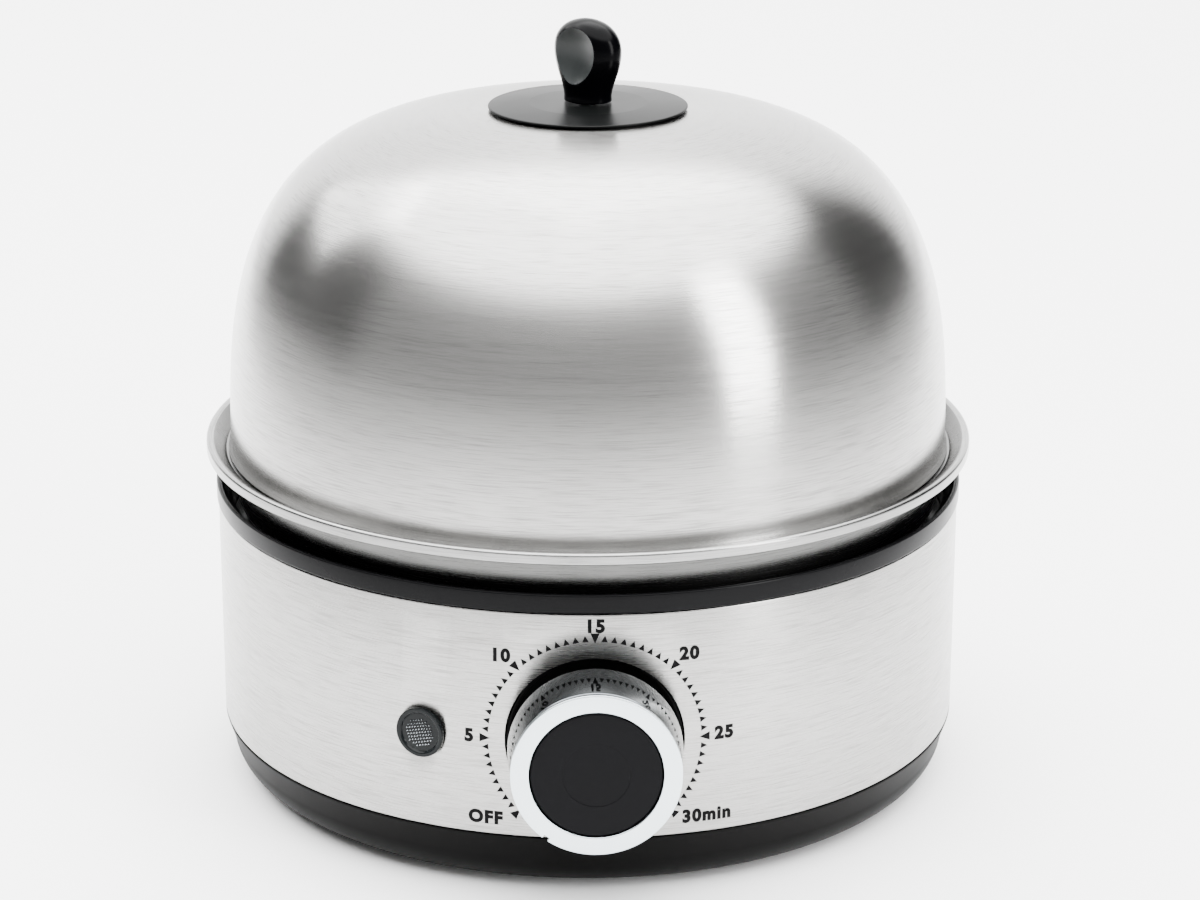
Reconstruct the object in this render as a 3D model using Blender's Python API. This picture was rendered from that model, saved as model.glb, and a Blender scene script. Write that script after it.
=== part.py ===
"""Egg cooker: a round countertop steamer that boils up to seven eggs.

Metres, +Z up. The origin is on the worktop, under the middle of the object's outer box.
Inside, everything turned shares one upright body axis, a little behind the origin, because the
timer knob stands out at the front (-Y). Three frames hang from that axis: the timer frame looks
out along the knob, the lamp frame along the pilot lamp and the cord frame along the rear gland.
In each of them local +Z points outwards.
"""

import math

import bmesh
import bpy
from mathutils import Matrix, Vector

MM = 0.001

# Fits
SEAT_GAP = 0.3 * MM          # between faces that rest on or beside each other
RUNNING_GAP = 0.12 * MM      # around an arbor or a shaft that turns
SEGMENTS = 32                # facets around every large turned piece
FINE_SEGMENTS = 12           # facets around a small one

# Body
BAND_RADIUS = 90 * MM
BAND_WALL = 0.8 * MM
BAND_BOTTOM = 15.2 * MM
TRAY_UNDERSIDE = 1.5 * MM
TRAY_WALL = 2.2 * MM
TRAY_WAIST_DROP = 5.6 * MM   # from the band down to the tray's first edge
TRAY_WAIST_INSET = 1.8 * MM
TRAY_FOOT_INSET = 10.2 * MM
SPIGOT_HEIGHT = 2 * MM
FOOT_RADIUS = 7 * MM
FOOT_PITCH_RADIUS = BAND_RADIUS - 26 * MM
FOOT_ANGLES = (35, 145, 215, 325)
FOOT_STEM_RADIUS = 2.4 * MM
POST_PITCH_RADIUS = BAND_RADIUS - 17 * MM
POST_RADIUS = 4 * MM
POST_ANGLES = (70, 190, 310)
SCREW_RADIUS = 1.7 * MM
SCREW_HEAD_RADIUS = 3.3 * MM
SCREW_HEAD_HEIGHT = 2.6 * MM
SCREW_LENGTH = 16 * MM
BOSS_WALL = 1.7 * MM
VENT_RADIUS = 2.5 * MM
VENT_PITCH_RADIUS = 34 * MM
VENT_COUNT = 6

# Collar and heating pan
COLLAR_OVERHANG = 0.4 * MM
COLLAR_HEIGHT = 4.5 * MM
COLLAR_LIP = 1.1 * MM
COLLAR_DISH = 3.0 * MM
LEDGE_WIDTH = 18.8 * MM
LEDGE_THICKNESS = 1.6 * MM
GASKET_HEIGHT = 1 * MM
GASKET_WIDTH = 4 * MM
PAN_RADIUS = BAND_RADIUS - 3.8 * MM     # outside of the upright wall
PAN_WALL = 0.8 * MM
PAN_CORNER = 6 * MM
PAN_DEPTH = 16.2 * MM        # from the pan's floor to the lid's seat
SEAT_WIDTH = 2.2 * MM
FLANGE_RISE = 3.1 * MM
FLANGE_RADIUS = PAN_RADIUS + 6.3 * MM
FLANGE_HEM = 3.0 * MM

# Heater under the pan
HEATER_RADIUS = 50 * MM
HEATER_THICKNESS = 2.5 * MM
ELEMENT_RADIUS = 3.2 * MM
ELEMENT_RING_RADIUS = 42 * MM
ELEMENT_TAIL = 11 * MM
ELEMENT_GAP_ANGLE = 30
STUD_RADIUS = 2.5 * MM
STUD_LENGTH = 18 * MM
THERMOSTAT_RADIUS = 8 * MM
THERMOSTAT_HEIGHT = 8 * MM
THERMOSTAT_OFFSET = 22 * MM
FUSE_RADIUS = 2.2 * MM
FUSE_LENGTH = 14 * MM
BRACKET_WIDTH = 14 * MM
BRACKET_THICKNESS = 1.5 * MM
NUT_ACROSS = 9 * MM
NUT_HEIGHT = 3.3 * MM
SHIELD_RADIUS = 37 * MM
SHIELD_THICKNESS = 0.8 * MM
SHIELD_DROP = 3 * MM

# Lid
DOME_RADIUS = PAN_RADIUS + 0.4 * MM
DOME_RISE = 84.2 * MM
DOME_BASE_DROP = 2.6 * MM     # from the lid's seat to where the dome's side is upright
DOME_SIDE_POWER = 3.6        # a higher power gives a squarer shoulder
DOME_TOP_POWER = 3.0
DOME_WALL = 0.8 * MM
DOME_FLARE = 0.6 * MM
DOME_FLARE_HEIGHT = 2.4 * MM
DOME_STATIONS = 11
DOME_VENT_RADIUS = 1.8 * MM
DOME_VENT_OFFSET = 46 * MM
DISC_RADIUS = 23.7 * MM
DISC_THICKNESS = 0.9 * MM
DISC_CROWN = 0.3 * MM
HANDLE_HEIGHT = 19.6 * MM
HANDLE_SEGMENTS = 20
SCOOP_RADIUS = 14 * MM
SCOOP_OFFSET = 16.2 * MM      # from the handle's axis to the middle of the scoop
SCOOP_SHARE = 0.56           # how far up the handle the scoop is centred
HANDLE_TURN = -45            # the broad faces look front left and rear right
HANDLE_SCREW_RADIUS = 2 * MM
HANDLE_SCREW_DEPTH = 9 * MM
WASHER_RADIUS = 7 * MM
WASHER_THICKNESS = 1.2 * MM

# Egg rack
RACK_RADIUS = PAN_RADIUS - 8.2 * MM
RACK_WALL = 0.8 * MM
RACK_CLEARANCE = 14 * MM     # from the pan's floor to the underside of the rack
RACK_RIM = 3 * MM
EGG_HOLE_RADIUS = 17 * MM
EGG_PITCH_RADIUS = RACK_RADIUS - 28 * MM
LEG_RADIUS = 2.2 * MM
LEG_PITCH_RADIUS = RACK_RADIUS - 6 * MM
LOOP_HEIGHT = 19 * MM
LOOP_WIDTH = 18 * MM
LOOP_WIRE_RADIUS = 1.2 * MM

# Knob, well and timer; levels are distances from the body axis
KNOB_REACH = BAND_RADIUS + 18 * MM      # body axis to the knob's front face
KNOB_RADIUS = 18.8 * MM
KNOB_CAP_RADIUS = 14.4 * MM
KNOB_FACE_THICKNESS = 1.2 * MM
KNOB_SKIRT_DEPTH = 12.6 * MM
KNOB_SKIRT_FLARE = 0.7 * MM  # the skirt widens towards the body
KNOB_SKIRT_WALL = 1.2 * MM
KNOB_NECK_RADIUS = 16.4 * MM
KNOB_OFF_ANGLE = 217         # where the pointer rests, clockwise from the top
KNOB_NOTCH_WIDTH = 1.5 * MM
KNOB_NOTCH_DEPTH = 0.9 * MM
KNOB_HOLE_RADIUS = 20.1 * MM
KNOB_HOLE_MARGIN = 13.3 * MM   # height of the band beyond the knob hole, above and below it together
WELL_DEPTH = 2.8 * MM
WELL_WALL = 0.9 * MM
WELL_FLOOR = 1 * MM
WELL_FLANGE = 1.2 * MM
PLATE_THICKNESS = 1.2 * MM
PLATE_SPACING = 15 * MM
PLATE_LEFT = 21 * MM
PLATE_RIGHT = 25 * MM
PLATE_UP = 17 * MM
PLATE_DOWN = 21 * MM
PILLAR_RADIUS = 2 * MM
TIMER_SCREW_RADIUS = 1.4 * MM
SHAFT_RADIUS = 3 * MM
SHAFT_TAIL = 4.2 * MM        # length of the shaft behind the back plate
ARBOR_RADIUS = 1 * MM
WHEEL_THICKNESS = 1.4 * MM
PINION_HEIGHT = 2.6 * MM
MAIN_TEETH = 40
MAIN_MODULE = 0.7 * MM
SECOND_PINION_TEETH = 10
SECOND_TEETH = 30
SECOND_MODULE = 0.5 * MM
ESCAPE_PINION_TEETH = 8
ESCAPE_TEETH = 15
ESCAPE_RADIUS = 6 * MM
BALANCE_RADIUS = 6.4 * MM
BALANCE_RIM = 1.3 * MM
BARREL_RADIUS = 5.5 * MM
BARREL_LENGTH = 7 * MM
CAM_RADIUS = 7 * MM
CAM_THICKNESS = 2.6 * MM
CAM_NOTCH_DEPTH = 1.6 * MM
SWITCH_DEPTH = 7.5 * MM
BELL_RADIUS = 11 * MM
BELL_DEPTH = 7 * MM
BELL_WALL = 0.8 * MM
BELL_STANDOFF = 6 * MM       # from the back plate to the bell's mouth
HAMMER_HEAD_RADIUS = 1.6 * MM

# Pilot lamp, gland and mains terminal
LAMP_ANGLE = -25.5           # left of the front
LENS_RADIUS = 5.8 * MM
LENS_BODY_RADIUS = 5.0 * MM
LENS_PROUD = 1.1 * MM
LENS_WALL = 1 * MM
HOLDER_DEPTH = 12 * MM
HOLDER_WALL = 1.1 * MM
BULB_RADIUS = 2.1 * MM
GLAND_RADIUS = 5 * MM
GLAND_BORE = 3.2 * MM
GLAND_HEAD_RADIUS = 7 * MM
GLAND_HEAD = 1.8 * MM
GLAND_LENGTH = 10 * MM
TERMINAL_SIZE = (34 * MM, 14 * MM, 12 * MM)
TERMINAL_PLACE = (-22 * MM, 46 * MM)

# Levels above the worktop that several pieces share
BAND_TOP = BAND_BOTTOM + 2 * KNOB_HOLE_RADIUS + KNOB_HOLE_MARGIN
BAND_INSIDE = BAND_RADIUS - BAND_WALL
BAND_FLATS = BAND_INSIDE * math.cos(math.pi / SEGMENTS)      # nearest point of the band's facets
SPIGOT_RADIUS = BAND_INSIDE - SEAT_GAP
TRAY_FLOOR = TRAY_UNDERSIDE + TRAY_WALL
TRAY_TOP = BAND_BOTTOM - SEAT_GAP
LEDGE_BOTTOM = BAND_TOP - 8.1 * MM
KNOB_LEVEL = LEDGE_BOTTOM - 2.1 * MM - KNOB_HOLE_RADIUS
LAMP_LEVEL = KNOB_LEVEL - 0.6 * MM
GLAND_LEVEL = BAND_BOTTOM + 14.8 * MM
LEDGE_TOP = LEDGE_BOTTOM + LEDGE_THICKNESS
PAN_UNDERSIDE = LEDGE_TOP + GASKET_HEIGHT + 2 * SEAT_GAP
PAN_FLOOR = PAN_UNDERSIDE + PAN_WALL
LID_SEAT = PAN_FLOOR + PAN_DEPTH
BOSS_TOP = TRAY_TOP + 2.4 * MM
BOSS_WEB = 4 * MM
COLLAR_RADIUS = BAND_RADIUS + COLLAR_OVERHANG
LEDGE_INSIDE = PAN_RADIUS - LEDGE_WIDTH
DOME_BASE = LID_SEAT - DOME_BASE_DROP
DOME_TOP = DOME_BASE + DOME_RISE
DISC_UNDERSIDE = DOME_TOP + SEAT_GAP
DISC_TOP = DISC_UNDERSIDE + DISC_THICKNESS + DISC_CROWN
HANDLE_FOOT = DISC_TOP + SEAT_GAP
RACK_UNDERSIDE = PAN_FLOOR + RACK_CLEARANCE
HEATER_UNDERSIDE = PAN_UNDERSIDE - SEAT_GAP - HEATER_THICKNESS
ELEMENT_LEVEL = HEATER_UNDERSIDE - SEAT_GAP - ELEMENT_RADIUS
BRACKET_TOP = ELEMENT_LEVEL - ELEMENT_RADIUS - 2.2 * MM

# Levels along the timer frame, outwards from the body axis
KNOB_REAR = KNOB_REACH - KNOB_FACE_THICKNESS - SEAT_GAP - KNOB_SKIRT_DEPTH
WELL_FRONT = math.sqrt(BAND_RADIUS**2 - KNOB_HOLE_RADIUS**2) - SEAT_GAP
WELL_RADIUS = KNOB_HOLE_RADIUS - 0.4 * MM
WELL_REAR = WELL_FRONT - WELL_DEPTH
FRONT_PLATE = WELL_REAR - 1.2 * MM          # front face of the front plate
FRONT_PLATE_REAR = FRONT_PLATE - PLATE_THICKNESS
BACK_PLATE = FRONT_PLATE_REAR - PLATE_SPACING
BACK_PLATE_REAR = BACK_PLATE - PLATE_THICKNESS
MAIN_WHEEL_LEVEL = FRONT_PLATE_REAR - 2.4 * MM - WHEEL_THICKNESS
SECOND_WHEEL_LEVEL = MAIN_WHEEL_LEVEL - 1.8 * MM - WHEEL_THICKNESS
ESCAPE_WHEEL_LEVEL = SECOND_WHEEL_LEVEL - 2.8 * MM - WHEEL_THICKNESS
BALANCE_LEVEL = BACK_PLATE + 1.6 * MM
MAIN_CENTRES = (MAIN_TEETH + SECOND_PINION_TEETH) * MAIN_MODULE / 2
SECOND_CENTRES = (SECOND_TEETH + ESCAPE_PINION_TEETH) * SECOND_MODULE / 2
SECOND_BEARING = -20         # degrees from the knob's axis to the second arbor
ESCAPE_BEARING = -120        # degrees from the second arbor to the escape arbor
BALANCE_PLACE = (-15.2 * MM, -8 * MM)
BELL_PLACE = (10 * MM, 4.6 * MM)
HAMMER_PIVOT = (-7.2 * MM, 12.8 * MM)
HAMMER_HEAD = (-4.4 * MM, 5.2 * MM)
PILLAR_PLACES = ((-17.5 * MM, 13.5 * MM), (21.5 * MM, 13.5 * MM), (-17.5 * MM, -17.5 * MM))
TIMER_SCREW_PLACES = ((-11 * MM, 4 * MM), (11 * MM, 4 * MM))

# The outer box runs from the rim at the back to the knob at the front
AXIS_Y = (KNOB_REACH - FLANGE_RADIUS) / 2

# Finish: colour, roughness, metallic, transmission
BRUSHED_STEEL = ((0.62, 0.62, 0.61), 0.32, 1.0, 0.0)
SPUN_STEEL = ((0.66, 0.66, 0.66), 0.24, 1.0, 0.0)
CHROME = ((0.80, 0.82, 0.84), 0.06, 1.0, 0.0)
SATIN_CHROME = ((0.80, 0.83, 0.85), 0.20, 1.0, 0.0)
ZINC = ((0.55, 0.56, 0.57), 0.38, 1.0, 0.0)
ALUMINIUM = ((0.72, 0.73, 0.74), 0.36, 1.0, 0.0)
BRASS = ((0.78, 0.58, 0.26), 0.28, 1.0, 0.0)
GLOSS_BLACK = ((0.012, 0.012, 0.013), 0.16, 0.0, 0.0)
SATIN_BLACK = ((0.014, 0.014, 0.015), 0.42, 0.0, 0.0)
BLACK_RUBBER = ((0.02, 0.02, 0.02), 0.75, 0.0, 0.0)
WHITE_SILICONE = ((0.72, 0.71, 0.68), 0.5, 0.0, 0.0)
CERAMIC = ((0.82, 0.80, 0.76), 0.5, 0.0, 0.0)
CREAM_PLASTIC = ((0.66, 0.62, 0.52), 0.45, 0.0, 0.0)
CLEAR_PLASTIC = ((0.92, 0.93, 0.94), 0.05, 0.0, 1.0)
NEON_GLASS = ((0.95, 0.62, 0.42), 0.05, 0.0, 0.6)


def make_material(name, finish):
    """One Principled material, in the finish given."""
    colour, roughness, metallic, transmission = finish
    material = bpy.data.materials.new(name)
    material.use_nodes = True
    shader = material.node_tree.nodes["Principled BSDF"]
    shader.inputs["Base Color"].default_value = (*colour, 1)
    shader.inputs["Roughness"].default_value = roughness
    shader.inputs["Metallic"].default_value = metallic
    shader.inputs["Transmission Weight"].default_value = transmission
    material.diffuse_color = (*colour, 1)
    return material


def add_frame(name, parent, place=(0, 0, 0), turn=(0, 0, 0)):
    """An empty that other pieces hang from; turn is in degrees."""
    frame = bpy.data.objects.new(name, None)
    frame.empty_display_size = 10 * MM
    frame.location = place
    frame.rotation_euler = [math.radians(angle) for angle in turn]
    frame.parent = parent
    bpy.context.scene.collection.objects.link(frame)
    return frame


def add_piece(name, bm, finish, parent, place=(0, 0, 0), turn=(0, 0, 0)):
    """Turns a bmesh into a named object; without a finish it is a tool for a Boolean."""
    bmesh.ops.recalc_face_normals(bm, faces=bm.faces)
    mesh = bpy.data.meshes.new(name)
    bm.to_mesh(mesh)
    bm.free()
    mesh.shade_smooth()
    mesh.set_sharp_from_angle(angle=math.radians(30))
    piece = bpy.data.objects.new(name, mesh)
    piece.location = place
    piece.rotation_euler = [math.radians(angle) for angle in turn]
    piece.parent = parent
    if finish:
        mesh.materials.append(make_material(name, finish))
    else:
        piece.hide_render = True
        piece.display_type = "WIRE"
    bpy.context.scene.collection.objects.link(piece)
    return piece


def spin_outline(outline, segments=SEGMENTS):
    """The solid swept by a closed outline of (radius, height) points around Z."""
    bm = bmesh.new()
    corners = [bm.verts.new((radius, 0, height)) for radius, height in outline]
    edges = [bm.edges.new((a, b)) for a, b in zip(corners, corners[1:] + corners[:1])]
    bmesh.ops.spin(
        bm, geom=corners + edges, cent=(0, 0, 0), axis=(0, 0, 1),
        angle=math.tau, steps=segments, use_merge=True,
    )
    bmesh.ops.remove_doubles(bm, verts=bm.verts, dist=0.001 * MM)
    on_axis = [edge for edge in bm.edges if not edge.link_faces]
    bmesh.ops.delete(bm, geom=on_axis, context="EDGES")
    return bm


def extrude_outline(outline, low, high):
    """The prism between two levels over a closed outline of (x, y) points."""
    bm = bmesh.new()
    face = bm.faces.new([bm.verts.new((x, y, low)) for x, y in outline])
    swept = bmesh.ops.extrude_face_region(bm, geom=[face])
    tops = [item for item in swept["geom"] if isinstance(item, bmesh.types.BMVert)]
    bmesh.ops.translate(bm, verts=tops, vec=(0, 0, high - low))
    return bm


def turned(name, outline, finish, parent, segments=SEGMENTS, **pose):
    return add_piece(name, spin_outline(outline, segments), finish, parent, **pose)


def prism(name, outline, low, high, finish, parent, **pose):
    return add_piece(name, extrude_outline(outline, low, high), finish, parent, **pose)


def cylinder(name, radius, low, high, finish, parent, segments=FINE_SEGMENTS, **pose):
    outline = [(0, low), (radius, low), (radius, high), (0, high)]
    return turned(name, outline, finish, parent, segments, **pose)


def boolean(piece, tool, operation):
    """Cuts the tool out of the piece, or joins it on."""
    modifier = piece.modifiers.new(f"{operation.lower()} {tool.name}", "BOOLEAN")
    modifier.operation = operation
    modifier.object = tool
    modifier.solver = "EXACT"


def bore(piece, radius, low, high, parent, place=(0, 0, 0), segments=FINE_SEGMENTS):
    """A round hole through the piece, parallel to the frame's Z."""
    tool = cylinder(f"{piece.name} bore", radius, low, high, None, parent, segments, place=place)
    boolean(piece, tool, "DIFFERENCE")


def arc(centre, radius, start, end, steps):
    """Points around an arc, in degrees, both ends included."""
    angles = [math.radians(start + (end - start) * i / steps) for i in range(steps + 1)]
    return [
        (centre[0] + radius * math.cos(angle), centre[1] + radius * math.sin(angle))
        for angle in angles
    ]


def sheet(path, thickness):
    """The closed outline of sheet metal that follows a path of (radius, height) points."""
    points = [Vector(point) for point in path]
    sides = []
    for before, here, after in zip([None] + points[:-1], points, points[1:] + [None]):
        ahead = (after - here).normalized() if after else (here - before).normalized()
        behind = (here - before).normalized() if before else ahead
        across = (ahead + behind).normalized().orthogonal()
        reach = thickness / 2 / max(across.dot(ahead.orthogonal()), 0.5)
        sides.append((here + across * reach, here - across * reach))
    return [tuple(left) for left, _ in sides] + [tuple(right) for _, right in reversed(sides)]


def rectangle(width, depth):
    """The corners of a rectangle about the origin."""
    return [(x * width / 2, y * depth / 2) for x, y in ((-1, -1), (1, -1), (1, 1), (-1, 1))]


def polar(radius, degrees):
    return radius * math.cos(math.radians(degrees)), radius * math.sin(math.radians(degrees))


def clock(radius, degrees):
    """A point at a dial angle, clockwise from the top, in the timer frame."""
    return polar(radius, 90 - degrees)


def add_tray(body):
    """The moulded base: a two-stage skirt, a spigot inside the band, screw bosses and vents."""
    waist = BAND_RADIUS - TRAY_WAIST_INSET
    waist_level = TRAY_TOP - TRAY_WAIST_DROP
    foot = BAND_RADIUS - TRAY_FOOT_INSET
    inside = SPIGOT_RADIUS - TRAY_WALL
    spigot_top = TRAY_TOP + SPIGOT_HEIGHT
    skirt_drop = waist_level - TRAY_UNDERSIDE
    skirt = [
        (foot + (waist - foot) * math.sin(math.radians(turn)),
         waist_level - skirt_drop * math.cos(math.radians(turn)))
        for turn in (0, 22, 45, 68, 90)
    ]
    outline = [(0, TRAY_UNDERSIDE), *skirt, (BAND_RADIUS, TRAY_TOP), (SPIGOT_RADIUS, TRAY_TOP)]
    outline += [(SPIGOT_RADIUS, spigot_top), (inside, spigot_top), (inside, waist_level + TRAY_WALL)]
    outline += [(radius - TRAY_WALL, level + TRAY_WALL * 0.6) for radius, level in skirt[3:1:-1]]
    outline += [(foot - TRAY_WALL, TRAY_FLOOR), (0, TRAY_FLOOR)]
    tray = turned("base_tray", outline, SATIN_BLACK, body)
    counterbore = SCREW_HEAD_RADIUS + 2 * SEAT_GAP
    for number, angle in enumerate(POST_ANGLES, 1):
        place = (*polar(POST_PITCH_RADIUS, angle), 0)
        boss = cylinder(
            f"base_tray boss {number}", counterbore + BOSS_WALL, TRAY_UNDERSIDE + TRAY_WALL / 2,
            BOSS_TOP, None, body, place=place,
        )
        boolean(tray, boss, "UNION")
        bore(tray, counterbore, 0, BOSS_TOP - BOSS_WEB, body, place)
        bore(tray, SCREW_RADIUS + SEAT_GAP, 0, BOSS_TOP + SEAT_GAP, body, place)
    for angle in FOOT_ANGLES:
        place = (*polar(FOOT_PITCH_RADIUS, angle), 0)
        bore(tray, FOOT_STEM_RADIUS + SEAT_GAP, 0, TRAY_FLOOR + SEAT_GAP, body, place)
    for number in range(VENT_COUNT):
        place = (*polar(VENT_PITCH_RADIUS, 360 * number / VENT_COUNT), 0)
        bore(tray, VENT_RADIUS, 0, TRAY_FLOOR + SEAT_GAP, body, place, segments=8)


def add_feet_and_screws(body):
    pad_top = TRAY_UNDERSIDE - SEAT_GAP
    barb_level = TRAY_FLOOR + SEAT_GAP
    foot_outline = [
        (0, 0), (FOOT_RADIUS - 0.5 * MM, 0), (FOOT_RADIUS, 0.4 * MM), (FOOT_RADIUS, pad_top),
        (FOOT_STEM_RADIUS, pad_top), (FOOT_STEM_RADIUS, barb_level),
        (FOOT_STEM_RADIUS + 0.9 * MM, barb_level), (FOOT_STEM_RADIUS - 0.6 * MM, barb_level + 2 * MM),
        (0, barb_level + 2 * MM),
    ]
    for number, angle in enumerate(FOOT_ANGLES, 1):
        place = (*polar(FOOT_PITCH_RADIUS, angle), 0)
        turned(f"foot_{number}", foot_outline, BLACK_RUBBER, body, FINE_SEGMENTS, place=place)
    head_top = BOSS_TOP - BOSS_WEB - SEAT_GAP
    head_bottom = head_top - SCREW_HEAD_HEIGHT
    for number, angle in enumerate(POST_ANGLES, 1):
        screw_outline = [
            (0, head_bottom), (SCREW_HEAD_RADIUS * 0.8, head_bottom),
            (SCREW_HEAD_RADIUS, head_bottom + 0.7 * MM), (SCREW_HEAD_RADIUS, head_top),
            (SCREW_RADIUS, head_top), (SCREW_RADIUS, head_top + SCREW_LENGTH - 1 * MM),
            (0, head_top + SCREW_LENGTH),
        ]
        place = (*polar(POST_PITCH_RADIUS, angle), 0)
        screw = turned(f"base_screw_{number}", screw_outline, ZINC, body, FINE_SEGMENTS, place=place)
        for turn in (0, 90):
            slot = prism(
                f"base_screw_{number} slot {turn}", rectangle(4 * MM, 0.8 * MM), 0, head_bottom + 1 * MM,
                None, body, place=place, turn=(0, 0, turn),
            )
            boolean(screw, slot, "DIFFERENCE")


def add_band(body, timer, lamp, cord):
    outline = [
        (BAND_INSIDE, BAND_BOTTOM), (BAND_RADIUS, BAND_BOTTOM),
        (BAND_RADIUS, BAND_TOP), (BAND_INSIDE, BAND_TOP),
    ]
    band = turned("steel_band", outline, BRUSHED_STEEL, body)
    inner = BAND_INSIDE * 0.8
    outer = BAND_RADIUS * 1.1
    bore(band, KNOB_HOLE_RADIUS, inner, outer, timer, segments=SEGMENTS)
    bore(band, LENS_BODY_RADIUS + SEAT_GAP, inner, outer, lamp)
    bore(band, GLAND_RADIUS + SEAT_GAP, inner, outer, cord)


def add_collar(body):
    """The moulded top ring, whose ledge carries the pan and whose posts take the base screws."""
    lip = COLLAR_RADIUS - COLLAR_LIP
    top = BAND_TOP + SEAT_GAP + COLLAR_HEIGHT
    inside = PAN_RADIUS + 2 * SEAT_GAP
    outline = [
        (COLLAR_RADIUS, BAND_TOP + SEAT_GAP), (COLLAR_RADIUS, top - 0.4 * MM),
        (COLLAR_RADIUS - 0.4 * MM, top), (lip, top), (lip - 0.7 * MM, top - COLLAR_DISH * 0.45),
        (inside, top - COLLAR_DISH), (inside, LEDGE_TOP), (LEDGE_INSIDE, LEDGE_TOP),
        (LEDGE_INSIDE, LEDGE_BOTTOM), (SPIGOT_RADIUS, LEDGE_BOTTOM), (SPIGOT_RADIUS, BAND_TOP + SEAT_GAP),
    ]
    collar = turned("top_collar", outline, GLOSS_BLACK, body)
    post_bottom = BOSS_TOP + SEAT_GAP
    bore_top = BOSS_TOP - BOSS_WEB + SCREW_LENGTH + 2 * MM
    for number, angle in enumerate(POST_ANGLES, 1):
        place = (*polar(POST_PITCH_RADIUS, angle), 0)
        post = cylinder(
            f"top_collar post {number}", POST_RADIUS, post_bottom, LEDGE_BOTTOM + LEDGE_THICKNESS / 2,
            None, body, place=place,
        )
        boolean(collar, post, "UNION")
        bore(collar, SCREW_RADIUS + SEAT_GAP, 0, bore_top, body, place)


def add_pan(body):
    """The shallow steel water pan, its gasket and the rolled flange that the lid sits inside."""
    wall = PAN_RADIUS - PAN_WALL / 2
    floor = PAN_UNDERSIDE + PAN_WALL / 2
    seat = LID_SEAT - PAN_WALL / 2
    flange = seat + FLANGE_RISE
    hem = FLANGE_RADIUS - PAN_WALL / 2
    path = [(0, floor), *arc((wall - PAN_CORNER, floor + PAN_CORNER), PAN_CORNER, -90, 0, 3)]
    path += [(wall, seat - 0.6 * MM), (wall + 0.5 * MM, seat), (wall + SEAT_WIDTH, seat)]
    path += [(wall + SEAT_WIDTH + 0.9 * MM, flange - 1 * MM), (wall + SEAT_WIDTH + 1.7 * MM, flange)]
    path += [(hem - 0.8 * MM, flange), (hem, flange - 0.8 * MM), (hem, flange - FLANGE_HEM)]
    outline = sheet(path, PAN_WALL)
    outline[0] = (0, floor + PAN_WALL / 2)
    outline[-1] = (0, floor - PAN_WALL / 2)
    turned("heating_pan", outline, SPUN_STEEL, body)
    gasket_outside = PAN_RADIUS - PAN_CORNER - 1 * MM
    gasket_bottom = LEDGE_TOP + SEAT_GAP
    gasket_top = gasket_bottom + GASKET_HEIGHT
    gasket_inside = gasket_outside - GASKET_WIDTH
    outline = [(gasket_inside, gasket_bottom), (gasket_outside, gasket_bottom)]
    outline += [(gasket_outside, gasket_top), (gasket_inside, gasket_top)]
    turned("pan_gasket", outline, WHITE_SILICONE, body)


def add_heater(body):
    """The aluminium plate and its stud, the element ring, the thermostat and the fuse."""
    stud_bottom = HEATER_UNDERSIDE - STUD_LENGTH
    outline = [
        (0, stud_bottom), (STUD_RADIUS, stud_bottom), (STUD_RADIUS, HEATER_UNDERSIDE),
        (HEATER_RADIUS, HEATER_UNDERSIDE), (HEATER_RADIUS, HEATER_UNDERSIDE + HEATER_THICKNESS),
        (0, HEATER_UNDERSIDE + HEATER_THICKNESS),
    ]
    turned("heater_plate", outline, ALUMINIUM, body)

    start = 90 + ELEMENT_GAP_ANGLE / 2
    end = start + 360 - ELEMENT_GAP_ANGLE
    ring = [(*polar(ELEMENT_RING_RADIUS, start + (end - start) * i / 22), ELEMENT_LEVEL) for i in range(23)]
    bend = 4 * MM
    first = []
    last = []
    for turn in (90, 60, 30):
        drop = bend * (1 - math.cos(math.radians(turn)))
        swing = math.degrees(bend * math.sin(math.radians(turn)) / ELEMENT_RING_RADIUS)
        first.append((*polar(ELEMENT_RING_RADIUS, start - swing), ELEMENT_LEVEL - drop))
        last.append((*polar(ELEMENT_RING_RADIUS, end + swing), ELEMENT_LEVEL - drop))
    tails = [(*path[0][:2], ELEMENT_LEVEL - ELEMENT_TAIL) for path in (first, last)]
    route = [tails[0], *first, *ring, *reversed(last), tails[1]]
    tube("heater_element", route, ELEMENT_RADIUS, ZINC, body)

    thermostat_top = HEATER_UNDERSIDE - SEAT_GAP
    low = thermostat_top - THERMOSTAT_HEIGHT
    outline = [
        (0, low), (THERMOSTAT_RADIUS * 0.7, low), (THERMOSTAT_RADIUS * 0.7, low + 3 * MM),
        (THERMOSTAT_RADIUS, low + 3 * MM), (THERMOSTAT_RADIUS, thermostat_top), (0, thermostat_top),
    ]
    place = (0, THERMOSTAT_OFFSET, 0)
    turned("thermostat", outline, CERAMIC, body, FINE_SEGMENTS, place=place)
    fuse_place = (-FUSE_LENGTH / 2, -THERMOSTAT_OFFSET, thermostat_top - FUSE_RADIUS)
    cylinder(
        "thermal_fuse", FUSE_RADIUS, 0, FUSE_LENGTH, ZINC, body, 12, place=fuse_place, turn=(0, 90, 0)
    )


def tube(name, route, radius, finish, parent):
    """A round wire or tube along a list of points, closed at both ends."""
    curve = bpy.data.curves.new(name, "CURVE")
    curve.dimensions = "3D"
    curve.bevel_depth = radius
    curve.bevel_resolution = 2
    curve.use_fill_caps = True
    spline = curve.splines.new("POLY")
    spline.points.add(len(route) - 1)
    for point, place in zip(spline.points, route):
        point.co = (*place, 1)
    curve.materials.append(make_material(name, finish))
    piece = bpy.data.objects.new(name, curve)
    piece.parent = parent
    bpy.context.scene.collection.objects.link(piece)
    return piece


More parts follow.
